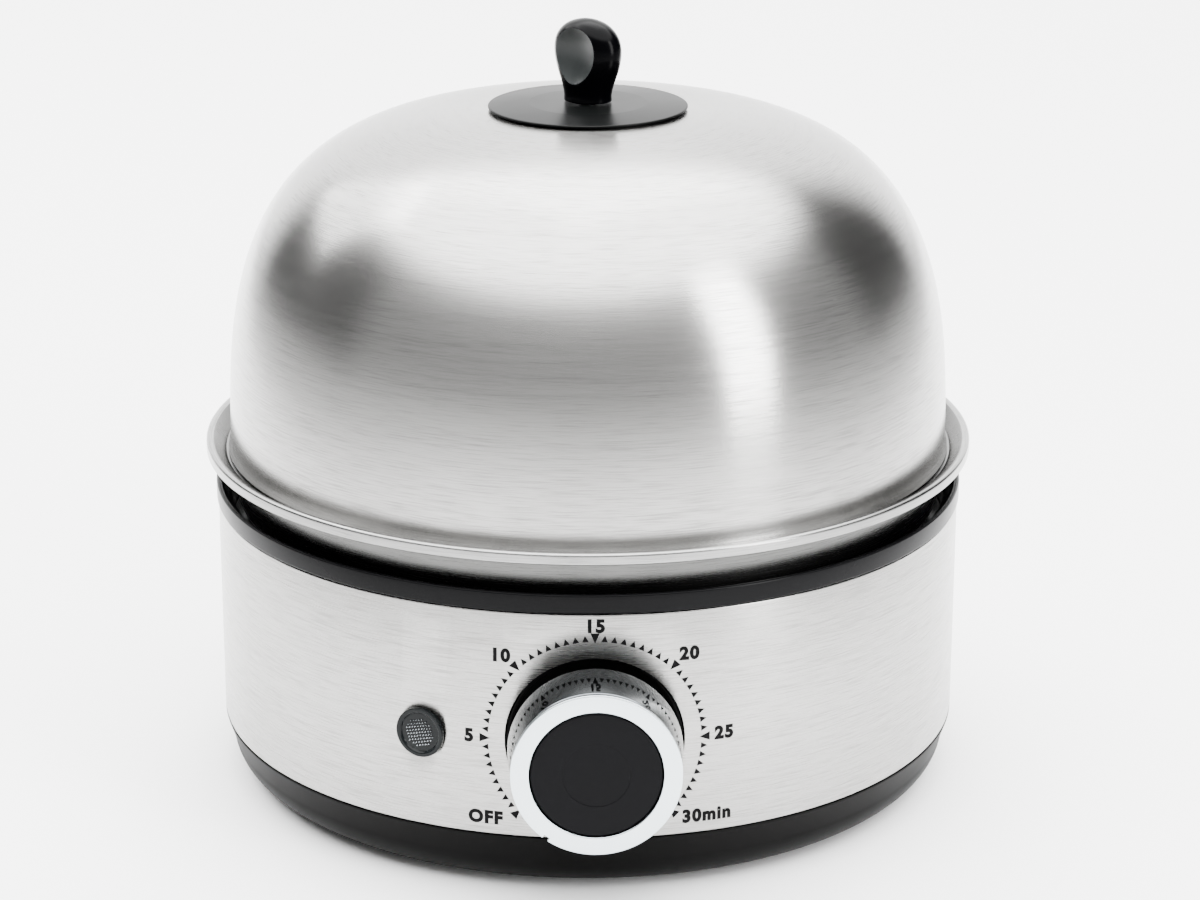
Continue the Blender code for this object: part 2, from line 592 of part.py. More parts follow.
def hexagon_nut(name, across, hole_radius, low, high, parent, **pose):
    corner = across / 2 / math.cos(math.radians(30))
    nut = prism(name, [polar(corner, 60 * i) for i in range(6)], low, high, ZINC, parent, **pose)
    bore(nut, hole_radius, low - 1 * MM, high + 1 * MM, parent)
    return nut


def add_clamp(body):
    """The bracket that pulls the pan down on the collar's ledge, the heat shield and their nut."""
    middle = BRACKET_TOP - BRACKET_THICKNESS / 2
    ends = LEDGE_BOTTOM - SEAT_GAP - BRACKET_THICKNESS / 2
    half = [
        (LEDGE_INSIDE - 4 * MM, middle), (LEDGE_INSIDE + 1.2 * MM, ends),
        (LEDGE_INSIDE + 7 * MM, ends),
    ]
    path = [(-x, z) for x, z in reversed(half)] + half
    bracket = prism(
        "pan_bracket", sheet(path, BRACKET_THICKNESS), -BRACKET_WIDTH / 2, BRACKET_WIDTH / 2, ZINC, body,
        turn=(90, 0, 0),
    )
    hole = STUD_RADIUS + SEAT_GAP
    bore(bracket, hole, middle - 2 * MM, middle + 2 * MM, body)
    shield_top = BRACKET_TOP - BRACKET_THICKNESS - SEAT_GAP
    rim = SHIELD_RADIUS - SHIELD_THICKNESS / 2
    path = [(hole, shield_top - SHIELD_THICKNESS / 2), (rim - 3 * MM, shield_top - SHIELD_THICKNESS / 2)]
    path += [(rim, shield_top - SHIELD_DROP)]
    turned("heat_shield", sheet(path, SHIELD_THICKNESS), ALUMINIUM, body)
    nut_top = shield_top - SHIELD_THICKNESS - SEAT_GAP
    hexagon_nut("clamp_nut", NUT_ACROSS, hole, nut_top - NUT_HEIGHT, nut_top, body)


def dome_point(radius, rise, turn):
    """A point of the dome's section; turn runs from 0 at the side to 90 degrees at the top."""
    return (
        radius * math.cos(turn) ** (2 / DOME_SIDE_POWER),
        DOME_BASE + rise * math.sin(turn) ** (2 / DOME_TOP_POWER),
    )


def add_lid(lid):
    """The spun dome, its plastic disc and handle, and the screw that holds them together."""
    radius = DOME_RADIUS - DOME_WALL / 2
    rise = DOME_RISE - DOME_WALL / 2
    screw_hole = HANDLE_SCREW_RADIUS + SEAT_GAP
    edge = LID_SEAT + SEAT_GAP
    lowest = math.asin(((edge + DOME_FLARE_HEIGHT - DOME_BASE) / rise) ** (DOME_TOP_POWER / 2))
    highest = math.acos((screw_hole / radius) ** (DOME_SIDE_POWER / 2))
    ease_start = math.asin(math.sqrt(lowest / (math.pi / 2)))
    ease_end = math.asin(math.sqrt(highest / (math.pi / 2)))
    path = [(radius + DOME_FLARE, edge), (radius + DOME_FLARE * 0.4, edge + DOME_FLARE_HEIGHT * 0.5)]
    for station in range(DOME_STATIONS + 1):
        ease = ease_start + (ease_end - ease_start) * station / DOME_STATIONS
        path.append(dome_point(radius, rise, math.pi / 2 * math.sin(ease) ** 2))
    dome = turned("dome_shell", sheet(path, DOME_WALL), BRUSHED_STEEL, lid)
    bore(dome, DOME_VENT_RADIUS, DOME_BASE, DOME_TOP + 2 * MM, lid, (0, DOME_VENT_OFFSET, 0), segments=12)

    edge_level = DISC_UNDERSIDE + DISC_THICKNESS
    outline = [
        (screw_hole, DISC_UNDERSIDE), (DISC_RADIUS - 0.4 * MM, DISC_UNDERSIDE),
        (DISC_RADIUS, DISC_UNDERSIDE + 0.4 * MM), (DISC_RADIUS, edge_level - 0.5 * MM),
        (DISC_RADIUS - 0.5 * MM, edge_level), (DISC_RADIUS * 0.5, DISC_TOP - DISC_CROWN * 0.3),
        (screw_hole, DISC_TOP),
    ]
    turned("lid_disc", outline, SATIN_BLACK, lid)
    add_handle(lid, screw_hole)

    dome_underside = DOME_TOP - DOME_WALL
    washer_top = dome_underside - SEAT_GAP
    washer_bottom = washer_top - WASHER_THICKNESS
    outline = [(screw_hole, washer_bottom), (WASHER_RADIUS, washer_bottom)]
    outline += [(WASHER_RADIUS, washer_top), (screw_hole, washer_top)]
    turned("handle_washer", outline, ZINC, lid, FINE_SEGMENTS)
    head_top = washer_bottom - SEAT_GAP
    head_bottom = head_top - SCREW_HEAD_HEIGHT
    tip = HANDLE_FOOT + HANDLE_SCREW_DEPTH
    outline = [
        (0, head_bottom), (3 * MM, head_bottom), (3.8 * MM, head_bottom + 0.8 * MM), (3.8 * MM, head_top),
        (HANDLE_SCREW_RADIUS, head_top), (HANDLE_SCREW_RADIUS, tip), (0, tip),
    ]
    turned("handle_screw", outline, ZINC, lid, FINE_SEGMENTS)


def add_handle(lid, screw_hole):
    """A finger tab: broad and rounded at the top, and hollowed on both faces for finger and thumb."""
    stations = (
        (0.00, 5.6, 4.6), (0.13, 6.3, 4.9), (0.26, 7.5, 5.2), (0.45, 9.0, 5.7), (0.62, 9.5, 5.9),
        (0.75, 9.1, 5.7), (0.84, 8.0, 5.1), (0.91, 6.4, 4.1), (0.97, 4.0, 2.6), (1.00, 1.2, 0.8),
    )
    bm = bmesh.new()
    rings = []
    for share, half_width, half_depth in stations:
        level = HANDLE_FOOT + share * HANDLE_HEIGHT
        ring = [
            bm.verts.new((half_width * MM * math.cos(a), half_depth * MM * math.sin(a), level))
            for a in (math.tau * i / HANDLE_SEGMENTS for i in range(HANDLE_SEGMENTS))
        ]
        rings.append([bm.edges.new((a, b)) for a, b in zip(ring, ring[1:] + ring[:1])])
        if share in (0, 1):
            bm.faces.new(ring)
    for low, high in zip(rings, rings[1:]):
        bmesh.ops.bridge_loops(bm, edges=low + high)
    handle = add_piece("lid_handle", bm, GLOSS_BLACK, lid, turn=(0, 0, HANDLE_TURN))
    for number, side in enumerate((-1, 1), 1):
        bm = bmesh.new()
        bmesh.ops.create_uvsphere(bm, u_segments=24, v_segments=16, radius=SCOOP_RADIUS)
        turn = Matrix.Rotation(math.radians(HANDLE_TURN), 3, "Z")
        x, y, _ = turn @ Vector((0, side * SCOOP_OFFSET, 0))
        place = (x, y, HANDLE_FOOT + SCOOP_SHARE * HANDLE_HEIGHT)
        scoop = add_piece(f"lid_handle scoop {number}", bm, None, lid, place, (0, 0, HANDLE_TURN))
        boolean(handle, scoop, "DIFFERENCE")
    bore(handle, screw_hole, HANDLE_FOOT - 1 * MM, HANDLE_FOOT + HANDLE_SCREW_DEPTH + 1 * MM, lid)


def add_rack(rack):
    """The removable steel plate with seven egg holes, on three legs, with two lifting loops."""
    middle = RACK_UNDERSIDE + RACK_WALL / 2
    rim = RACK_RADIUS - RACK_WALL / 2
    path = [(0, middle), (rim - 1 * MM, middle), (rim - 0.3 * MM, middle - 0.3 * MM)]
    path += [(rim, middle - 1 * MM), (rim, middle - RACK_RIM)]
    outline = sheet(path, RACK_WALL)
    outline[0] = (0, middle + RACK_WALL / 2)
    outline[-1] = (0, middle - RACK_WALL / 2)
    plate = turned("egg_rack", outline, SPUN_STEEL, rack)
    holes = [(0, 0)] + [polar(EGG_PITCH_RADIUS, 60 * number) for number in range(6)]
    for place in holes:
        bore(plate, EGG_HOLE_RADIUS, middle - 2 * MM, middle + 2 * MM, rack, (*place, 0), 24)
    for number, angle in enumerate((30, 150, 270), 1):
        place = (*polar(LEG_PITCH_RADIUS, angle), 0)
        cylinder(
            f"rack_leg_{number}", LEG_RADIUS, PAN_FLOOR + SEAT_GAP, RACK_UNDERSIDE - SEAT_GAP, SPUN_STEEL,
            rack, 12, place=place,
        )
    foot = RACK_UNDERSIDE + RACK_WALL + SEAT_GAP
    top = foot + LOOP_HEIGHT
    corner = 4 * MM
    half = LOOP_WIDTH / 2
    right = arc((half - corner, top - corner), corner, 0, 90, 4)
    outline = [(half, foot), *right, *((-x, z) for x, z in reversed(right)), (-half, foot)]
    for number, angle in enumerate((30, 210), 1):
        turn = Matrix.Rotation(math.radians(angle - 90), 3, "Z")
        route = [turn @ Vector((x, LEG_PITCH_RADIUS, z)) for x, z in outline]
        tube(f"rack_loop_{number}", route, LOOP_WIRE_RADIUS, SPUN_STEEL, rack)


def add_knob(knob):
    """The chrome skirt, face ring and black cap on a moulded hub."""
    face_rear = KNOB_REACH - KNOB_FACE_THICKNESS
    skirt_front = face_rear - SEAT_GAP
    skirt_inside = KNOB_RADIUS - 0.1 * MM - KNOB_SKIRT_WALL
    hub_radius = skirt_inside - SEAT_GAP
    hub_front = face_rear - 0.9 * MM
    hub_rear = WELL_REAR + WELL_FLOOR + 1.9 * MM
    socket = SHAFT_RADIUS + SEAT_GAP
    socket_end = hub_front - 5 * MM
    outline = [
        (0, hub_front), (hub_radius, hub_front), (hub_radius, KNOB_REAR + 0.4 * MM),
        (KNOB_NECK_RADIUS, KNOB_REAR - 0.4 * MM), (KNOB_NECK_RADIUS, hub_rear), (socket, hub_rear),
        (socket, socket_end), (0, socket_end),
    ]
    turned("knob_hub", outline, SATIN_BLACK, knob)
    rear_radius = KNOB_RADIUS + KNOB_SKIRT_FLARE
    outline = [
        (skirt_inside, KNOB_REAR), (rear_radius - 0.3 * MM, KNOB_REAR), (rear_radius, KNOB_REAR + 0.3 * MM),
        (KNOB_RADIUS - 0.1 * MM, skirt_front - 0.2 * MM), (KNOB_RADIUS - 0.3 * MM, skirt_front),
        (skirt_inside, skirt_front),
    ]
    turned("knob_skirt", outline, CHROME, knob)
    ring_inside = KNOB_CAP_RADIUS + SEAT_GAP
    outline = [
        (ring_inside, face_rear), (KNOB_RADIUS - 0.2 * MM, face_rear), (KNOB_RADIUS, face_rear + 0.2 * MM),
        (KNOB_RADIUS, KNOB_REACH - 0.4 * MM), (KNOB_RADIUS - 0.4 * MM, KNOB_REACH),
        (ring_inside + 0.2 * MM, KNOB_REACH), (ring_inside, KNOB_REACH - 0.2 * MM),
    ]
    ring = turned("knob_face_ring", outline, SATIN_CHROME, knob)
    x, y = clock(KNOB_RADIUS, KNOB_OFF_ANGLE)
    half = KNOB_NOTCH_WIDTH / 2
    corners = [(-half, -KNOB_NOTCH_DEPTH), (half, -KNOB_NOTCH_DEPTH), (half, 1 * MM), (-half, 1 * MM)]
    notch = prism(
        "knob_face_ring notch", corners, face_rear - 1 * MM, KNOB_REACH + 1 * MM, None, knob,
        place=(x, y, 0), turn=(0, 0, -KNOB_OFF_ANGLE),
    )
    boolean(ring, notch, "DIFFERENCE")
    cap_front = KNOB_REACH - 0.3 * MM
    cap_rear = hub_front + SEAT_GAP
    outline = [
        (0, cap_rear), (KNOB_CAP_RADIUS, cap_rear), (KNOB_CAP_RADIUS, cap_front - 0.4 * MM),
        (KNOB_CAP_RADIUS - 0.4 * MM, cap_front - 0.1 * MM), (KNOB_CAP_RADIUS * 0.6, cap_front),
        (0, cap_front),
    ]
    turned("knob_cap", outline, GLOSS_BLACK, knob)


def gear_outline(teeth, module):
    """Straight-sided teeth, thin enough to run with backlash; the first is centred on +X."""
    pitch = math.tau / teeth
    middle = teeth * module / 2
    corners = []
    for tooth in range(teeth):
        for radius, share in (
            (middle - 1.1 * module, -0.30), (middle + 0.75 * module, -0.08),
            (middle + 0.75 * module, 0.08), (middle - 1.1 * module, 0.30),
        ):
            angle = (tooth + share) * pitch
            corners.append((radius * math.cos(angle), radius * math.sin(angle)))
    return corners


def gear_phase(bearing, teeth, driver_teeth, driver_phase):
    """The turn that puts a gap of the driven gear on a tooth of its driver, in degrees."""
    lead = (bearing - driver_phase) * driver_teeth / teeth
    return bearing + 180 + lead + 180 / teeth


def add_well(timer):
    """The black cup behind the knob, its screws, and the plates and pillars of the timer."""
    inside = WELL_RADIUS - WELL_WALL
    flange = WELL_RADIUS + WELL_FLANGE
    flange_front = math.sqrt(BAND_FLATS**2 - flange**2) - SEAT_GAP
    floor = WELL_REAR + WELL_FLOOR
    boss = SHAFT_RADIUS + 2 * RUNNING_GAP
    outline = [
        (boss, WELL_REAR), (flange, WELL_REAR), (flange, flange_front), (WELL_RADIUS, flange_front),
        (WELL_RADIUS, WELL_FRONT), (inside, WELL_FRONT), (inside, floor), (boss, floor),
    ]
    well = turned("knob_well", outline, SATIN_BLACK, timer)
    plate_outline = [(-PLATE_LEFT, -PLATE_DOWN), (PLATE_RIGHT, -PLATE_DOWN)]
    plate_outline += [(PLATE_RIGHT, PLATE_UP), (-PLATE_LEFT, PLATE_UP)]
    front = prism("timer_front_plate", plate_outline, FRONT_PLATE_REAR, FRONT_PLATE, ZINC, timer)
    back = prism("timer_back_plate", plate_outline, BACK_PLATE_REAR, BACK_PLATE, ZINC, timer)
    second = polar(MAIN_CENTRES, SECOND_BEARING)
    escape = Vector(second) + Vector(polar(SECOND_CENTRES, ESCAPE_BEARING))
    for plate, low, high in ((front, FRONT_PLATE_REAR, FRONT_PLATE), (back, BACK_PLATE_REAR, BACK_PLATE)):
        bore(plate, SHAFT_RADIUS + RUNNING_GAP, low - 1 * MM, high + 1 * MM, timer)
        for x, y in (second, escape, BALANCE_PLACE):
            bore(plate, ARBOR_RADIUS + RUNNING_GAP, low - 1 * MM, high + 1 * MM, timer, (x, y, 0), 12)
    for number, (x, y) in enumerate(PILLAR_PLACES, 1):
        cylinder(
            f"timer_pillar_{number}", PILLAR_RADIUS, BACK_PLATE + SEAT_GAP, FRONT_PLATE_REAR - SEAT_GAP,
            BRASS, timer, 12, place=(x, y, 0),
        )
    head_rear = floor + SEAT_GAP
    head_front = head_rear + 1.2 * MM
    tip = FRONT_PLATE_REAR - 1 * MM
    outline = [
        (0, tip), (TIMER_SCREW_RADIUS, tip), (TIMER_SCREW_RADIUS, head_rear), (2.6 * MM, head_rear),
        (2.6 * MM, head_front), (0, head_front),
    ]
    hole = TIMER_SCREW_RADIUS + SEAT_GAP
    for number, (x, y) in enumerate(TIMER_SCREW_PLACES, 1):
        place = (x, y, 0)
        turned(f"timer_screw_{number}", outline, ZINC, timer, 12, place=place)
        bore(well, hole, WELL_REAR - 1 * MM, head_front, timer, place, 12)
        bore(front, hole, tip, FRONT_PLATE + 1 * MM, timer, place, 12)


def add_drive(knob):
    """What turns with the knob behind the well: shaft, main wheel, spring barrel and cam."""
    tail = BACK_PLATE_REAR - SHAFT_TAIL
    shaft_end = KNOB_REACH - KNOB_FACE_THICKNESS - 0.9 * MM - 5 * MM - SEAT_GAP
    cylinder("timer_shaft", SHAFT_RADIUS, tail, shaft_end, ZINC, knob)
    hole = SHAFT_RADIUS + SEAT_GAP
    top = MAIN_WHEEL_LEVEL + WHEEL_THICKNESS
    wheel = prism("main_wheel", gear_outline(MAIN_TEETH, MAIN_MODULE), MAIN_WHEEL_LEVEL, top, BRASS, knob)
    bore(wheel, hole, MAIN_WHEEL_LEVEL - 1 * MM, top + 1 * MM, knob)
    barrel_top = MAIN_WHEEL_LEVEL - SEAT_GAP
    outline = [
        (hole, barrel_top - BARREL_LENGTH), (BARREL_RADIUS, barrel_top - BARREL_LENGTH),
        (BARREL_RADIUS, barrel_top), (hole, barrel_top),
    ]
    turned("spring_barrel", outline, ZINC, knob, FINE_SEGMENTS)
    cam_top = BACK_PLATE_REAR - 0.8 * MM
    rim = [clock(CAM_RADIUS, 270 + 12 + 336 * i / 28) for i in range(29)]
    rim.append(clock(CAM_RADIUS - CAM_NOTCH_DEPTH, 270))
    cam = prism("switch_cam", rim, cam_top - CAM_THICKNESS, cam_top, CREAM_PLASTIC, knob)
    bore(cam, hole, cam_top - CAM_THICKNESS - 1 * MM, cam_top + 1 * MM, knob)


def add_arbor(name, parts, parent):
    """An arbor between the plates with wheels joined on, as (outline, level, height, turn)."""
    arbor = cylinder(
        name, ARBOR_RADIUS, BACK_PLATE - PLATE_THICKNESS / 2, FRONT_PLATE_REAR + PLATE_THICKNESS / 2, BRASS,
        parent, 12,
    )
    for number, (outline, level, height, turn) in enumerate(parts, 1):
        wheel = prism(
            f"{name} wheel {number}", outline, level, level + height, None, parent, turn=(0, 0, turn)
        )
        boolean(arbor, wheel, "UNION")
    return arbor


def add_gear_train(timer):
    """The second, escape and balance arbors, each hanging from a frame on its own axis."""
    second_place = polar(MAIN_CENTRES, SECOND_BEARING)
    escape_place = Vector(second_place) + Vector(polar(SECOND_CENTRES, ESCAPE_BEARING))
    second_frame = add_frame("second_axis", timer, (*second_place, 0))
    escape_frame = add_frame("escape_axis", timer, (*escape_place, 0))
    balance_frame = add_frame("balance_axis", timer, (*BALANCE_PLACE, 0))

    phase = gear_phase(SECOND_BEARING, SECOND_PINION_TEETH, MAIN_TEETH, 0)
    pinion_level = MAIN_WHEEL_LEVEL - (PINION_HEIGHT - WHEEL_THICKNESS) / 2
    parts = [
        (gear_outline(SECOND_PINION_TEETH, MAIN_MODULE), pinion_level, PINION_HEIGHT, phase),
        (gear_outline(SECOND_TEETH, SECOND_MODULE), SECOND_WHEEL_LEVEL, WHEEL_THICKNESS, 0),
    ]
    add_arbor("second_wheel", parts, second_frame)

    phase = gear_phase(ESCAPE_BEARING, ESCAPE_PINION_TEETH, SECOND_TEETH, 0)
    pinion_level = SECOND_WHEEL_LEVEL - (PINION_HEIGHT - WHEEL_THICKNESS) / 2
    escape_outline = []
    for tooth in range(ESCAPE_TEETH):
        start = 360 * tooth / ESCAPE_TEETH
        escape_outline += [polar(ESCAPE_RADIUS * 0.74, start), polar(ESCAPE_RADIUS, start + 4)]
    parts = [
        (gear_outline(ESCAPE_PINION_TEETH, SECOND_MODULE), pinion_level, PINION_HEIGHT, phase),
        (escape_outline, ESCAPE_WHEEL_LEVEL, WHEEL_THICKNESS, 0),
    ]
    add_arbor("escape_wheel", parts, escape_frame)

    spoke = rectangle(2 * BALANCE_RADIUS - BALANCE_RIM, 1.4 * MM)
    balance = add_arbor("balance_wheel", [(spoke, BALANCE_LEVEL, WHEEL_THICKNESS, 0)], balance_frame)
    inside = BALANCE_RADIUS - BALANCE_RIM
    outline = [
        (inside, BALANCE_LEVEL), (BALANCE_RADIUS, BALANCE_LEVEL),
        (BALANCE_RADIUS, BALANCE_LEVEL + WHEEL_THICKNESS), (inside, BALANCE_LEVEL + WHEEL_THICKNESS),
    ]
    rim = turned("balance_wheel rim", outline, None, balance_frame, FINE_SEGMENTS)
    boolean(balance, rim, "UNION")


def add_alarm(timer):
    """The switch beside the cam, the bell on its post, and the hammer on its pivot."""
    switch_front = BACK_PLATE_REAR - SEAT_GAP
    nose = CAM_RADIUS + SEAT_GAP
    left = -PLATE_LEFT
    right = left + 10 * MM
    outline = [
        (left, -6 * MM), (right, -6 * MM), (right, -1.5 * MM), (-nose, -1 * MM), (-nose, 1 * MM),
        (right, 1.5 * MM), (right, 6 * MM), (left, 6 * MM),
    ]
    prism("timer_switch", outline, switch_front - SWITCH_DEPTH, switch_front, CREAM_PLASTIC, timer)

    mouth = BACK_PLATE_REAR - BELL_STANDOFF
    crown = mouth - BELL_DEPTH
    post_radius = 1.5 * MM
    place = (*BELL_PLACE, 0)
    bore_radius = post_radius + SEAT_GAP
    path = [(bore_radius, crown + BELL_WALL / 2), (BELL_RADIUS * 0.62, crown + BELL_WALL / 2)]
    path += [(BELL_RADIUS * 0.88, crown + 1.6 * MM), (BELL_RADIUS - BELL_WALL / 2, crown + 3.6 * MM)]
    path += [(BELL_RADIUS - BELL_WALL / 2, mouth)]
    turned("timer_bell", sheet(path, BELL_WALL), SPUN_STEEL, timer, FINE_SEGMENTS, place=place)
    head = crown - SEAT_GAP
    outline = [
        (0, head - 1.2 * MM), (3 * MM, head - 1.2 * MM), (3 * MM, head), (post_radius, head),
        (post_radius, BACK_PLATE_REAR - SEAT_GAP), (0, BACK_PLATE_REAR - SEAT_GAP),
    ]
    turned("bell_post", outline, ZINC, timer, 16, place=place)

    arm_top = mouth + 1.7 * MM
    arm_bottom = mouth + 0.5 * MM
    pivot_radius = 1 * MM
    outline = [
        (0, arm_bottom - 0.6 * MM), (pivot_radius, arm_bottom - 0.6 * MM),
        (pivot_radius, BACK_PLATE_REAR - SEAT_GAP), (0, BACK_PLATE_REAR - SEAT_GAP),
    ]
    turned("hammer_pin", outline, ZINC, timer, 16, place=(*HAMMER_PIVOT, 0))
    hammer = add_frame("hammer_axis", timer, (*HAMMER_PIVOT, 0))
    reach = Vector(HAMMER_HEAD) - Vector(HAMMER_PIVOT)
    along = math.degrees(math.atan2(reach.y, reach.x))
    outline = arc((0, 0), 2.2 * MM, along + 90, along + 270, 8)
    outline += arc(tuple(reach), HAMMER_HEAD_RADIUS, along - 90, along + 90, 8)
    arm = prism("bell_hammer", outline, arm_bottom, arm_top, BRASS, hammer)
    striker = cylinder(
        "bell_hammer head", HAMMER_HEAD_RADIUS * 0.9, mouth - 3.5 * MM, arm_bottom + 0.6 * MM, None,
        hammer, 12, place=(*reach, 0),
    )
    boolean(arm, striker, "UNION")
    bore(arm, pivot_radius + RUNNING_GAP, arm_bottom - 1 * MM, arm_top + 1 * MM, hammer, segments=16)


def add_lamp(lamp):
    """The pilot lamp: a clear lens in the band, a holder behind it and a neon bulb inside."""
    flange_rear = BAND_RADIUS + SEAT_GAP / 2
    front = flange_rear + LENS_PROUD
    tail = BAND_INSIDE - 5 * MM
    inside = LENS_BODY_RADIUS - LENS_WALL
    outline = [
        (0, front), (LENS_RADIUS - 0.5 * MM, front), (LENS_RADIUS, front - 0.5 * MM),
        (LENS_RADIUS, flange_rear), (LENS_BODY_RADIUS, flange_rear), (LENS_BODY_RADIUS, tail),
        (inside, tail), (inside, flange_rear - 0.5 * MM), (0, flange_rear - 0.5 * MM),
    ]
    turned("lamp_lens", outline, CLEAR_PLASTIC, lamp, FINE_SEGMENTS)
    holder_inside = LENS_BODY_RADIUS + SEAT_GAP
    holder_outside = holder_inside + HOLDER_WALL
    holder_front = math.sqrt(BAND_FLATS**2 - holder_outside**2) - SEAT_GAP
    holder_rear = holder_front - HOLDER_DEPTH
    wire_hole = 1 * MM
    outline = [
        (holder_inside, holder_front), (holder_outside, holder_front), (holder_outside, holder_rear),
        (wire_hole, holder_rear), (wire_hole, holder_rear + HOLDER_WALL),
        (holder_inside, holder_rear + HOLDER_WALL),
    ]
    turned("lamp_holder", outline, CREAM_PLASTIC, lamp, FINE_SEGMENTS)
    bulb_rear = holder_rear + HOLDER_WALL + SEAT_GAP
    bulb_front = flange_rear - 1.5 * MM
    outline = [(0, bulb_rear), (BULB_RADIUS, bulb_rear)]
    outline += arc((0, bulb_front - BULB_RADIUS), BULB_RADIUS, 0, 90, 5)
    turned("lamp_bulb", outline, NEON_GLASS, lamp, 16)


def add_mains(body, cord):
    """The rear gland with its nut, and the terminal block that the mains wires reach."""
    head_rear = BAND_RADIUS + SEAT_GAP
    front = head_rear + GLAND_HEAD
    tail = head_rear - GLAND_LENGTH
    outline = [
        (GLAND_BORE, tail), (GLAND_RADIUS, tail), (GLAND_RADIUS, head_rear), (GLAND_HEAD_RADIUS, head_rear),
        (GLAND_HEAD_RADIUS, front - 0.6 * MM), (GLAND_HEAD_RADIUS - 0.8 * MM, front),
        (GLAND_BORE + 0.4 * MM, front), (GLAND_BORE, front - 0.4 * MM),
    ]
    turned("cord_gland", outline, SATIN_BLACK, cord, FINE_SEGMENTS)
    across = 2 * (GLAND_RADIUS + 2.4 * MM)
    nut_front = math.sqrt(BAND_FLATS**2 - (across * 0.6) ** 2) - SEAT_GAP
    hexagon_nut("gland_nut", across, GLAND_RADIUS + SEAT_GAP, nut_front - NUT_HEIGHT, nut_front, cord)

    width, depth, height = TERMINAL_SIZE
    low = TRAY_FLOOR + SEAT_GAP
    block = prism(
        "terminal_block", rectangle(width, depth), low, low + height, CREAM_PLASTIC, body,
        place=(*TERMINAL_PLACE, 0),
    )
    for number in range(3):
        x = (number - 1) * width / 3
        tool = cylinder(
            f"terminal_block way {number}", 2.2 * MM, -depth, depth, None, block, 12,
            place=(x, 0, low + height / 2), turn=(90, 0, 0),
        )
        boolean(block, tool, "DIFFERENCE")


def build():
    for leftover in list(bpy.data.objects):
        bpy.data.objects.remove(leftover)
    body = add_frame("body_axis", None, (0, AXIS_Y, 0))
    timer = add_frame("timer_frame", body, (0, 0, KNOB_LEVEL), (90, 0, 0))
    knob = add_frame("knob_axis", timer)
    lamp = add_frame("lamp_frame", body, (0, 0, LAMP_LEVEL), (90, 0, LAMP_ANGLE))
    cord = add_frame("cord_frame", body, (0, 0, GLAND_LEVEL), (-90, 0, 0))
    lid = add_frame("lid_frame", body)
    rack = add_frame("rack_frame", body)
    add_tray(body)
    add_feet_and_screws(body)
    add_band(body, timer, lamp, cord)
    add_collar(body)
    add_pan(body)
    add_heater(body)
    add_clamp(body)
    add_well(timer)
    add_knob(knob)
    add_drive(knob)
    add_gear_train(timer)
    add_alarm(timer)
    add_lamp(lamp)
    add_mains(body, cord)
    add_rack(rack)
    add_lid(lid)


build()
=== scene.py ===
"""Looks of the egg cooker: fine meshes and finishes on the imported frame.

Metres, +Z up. Turned pieces are drawn around their own axis and then placed by one of four
matrices: the upright body axis, the timer frame that looks out along the knob, the lamp frame and
the cord frame. In the last three, local +Z points out of the appliance.
"""

import math

import bmesh
import bpy
from mathutils import Matrix, Vector


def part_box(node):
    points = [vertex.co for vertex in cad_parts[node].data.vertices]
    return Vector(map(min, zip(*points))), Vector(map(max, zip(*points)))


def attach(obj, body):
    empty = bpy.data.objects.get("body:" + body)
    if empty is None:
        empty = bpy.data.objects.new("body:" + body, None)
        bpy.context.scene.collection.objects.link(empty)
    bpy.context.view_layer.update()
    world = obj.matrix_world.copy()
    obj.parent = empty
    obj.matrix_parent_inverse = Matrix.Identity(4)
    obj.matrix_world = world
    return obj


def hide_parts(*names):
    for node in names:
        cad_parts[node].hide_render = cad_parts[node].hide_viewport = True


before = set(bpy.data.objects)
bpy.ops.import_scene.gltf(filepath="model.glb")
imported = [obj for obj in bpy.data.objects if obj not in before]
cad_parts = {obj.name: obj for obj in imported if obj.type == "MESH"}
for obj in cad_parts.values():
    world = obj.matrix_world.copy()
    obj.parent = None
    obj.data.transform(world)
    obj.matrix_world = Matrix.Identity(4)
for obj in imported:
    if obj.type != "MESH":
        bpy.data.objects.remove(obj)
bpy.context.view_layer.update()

MM = 0.001
STEPS = 192                  # facets around the large turned pieces
FINE_STEPS = 96              # facets around the knob and other middling pieces
SMALL_STEPS = 48             # facets around screws, feet and the lamp


def middle(node):
    low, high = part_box(node)
    return (low + high) / 2


# Places and sizes that the frame gives
BAND_LOW, BAND_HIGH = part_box("steel_band")
AXIS_Y = (BAND_LOW.y + BAND_HIGH.y) / 2
BAND_RADIUS = BAND_HIGH.x
PAN_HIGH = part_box("heating_pan")[1]
RACK_LOW, RACK_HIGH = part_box("egg_rack")
DOME_LOW, DOME_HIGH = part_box("dome_shell")
DISC_LOW, DISC_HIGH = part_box("lid_disc")
HANDLE_LOW, HANDLE_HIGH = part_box("lid_handle")
COLLAR_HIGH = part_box("top_collar")[1]
TRAY_LOW, TRAY_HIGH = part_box("base_tray")
KNOB_LEVEL = middle("knob_cap").z
KNOB_REACH = AXIS_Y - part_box("knob_face_ring")[0].y
LAMP_ANGLE = -25.5
LAMP_LEVEL = middle("lamp_lens").z
CORD_LEVEL = middle("cord_gland").z

BODY = Matrix.Translation((0, AXIS_Y, 0))
OUTWARDS = Matrix.Rotation(math.radians(90), 4, "X")
TIMER = BODY @ Matrix.Translation((0, 0, KNOB_LEVEL)) @ OUTWARDS
LAMP = (
    BODY @ Matrix.Translation((0, 0, LAMP_LEVEL))
    @ Matrix.Rotation(math.radians(LAMP_ANGLE), 4, "Z") @ OUTWARDS
)
CORD = BODY @ Matrix.Translation((0, 0, CORD_LEVEL)) @ Matrix.Rotation(math.radians(-90), 4, "X")

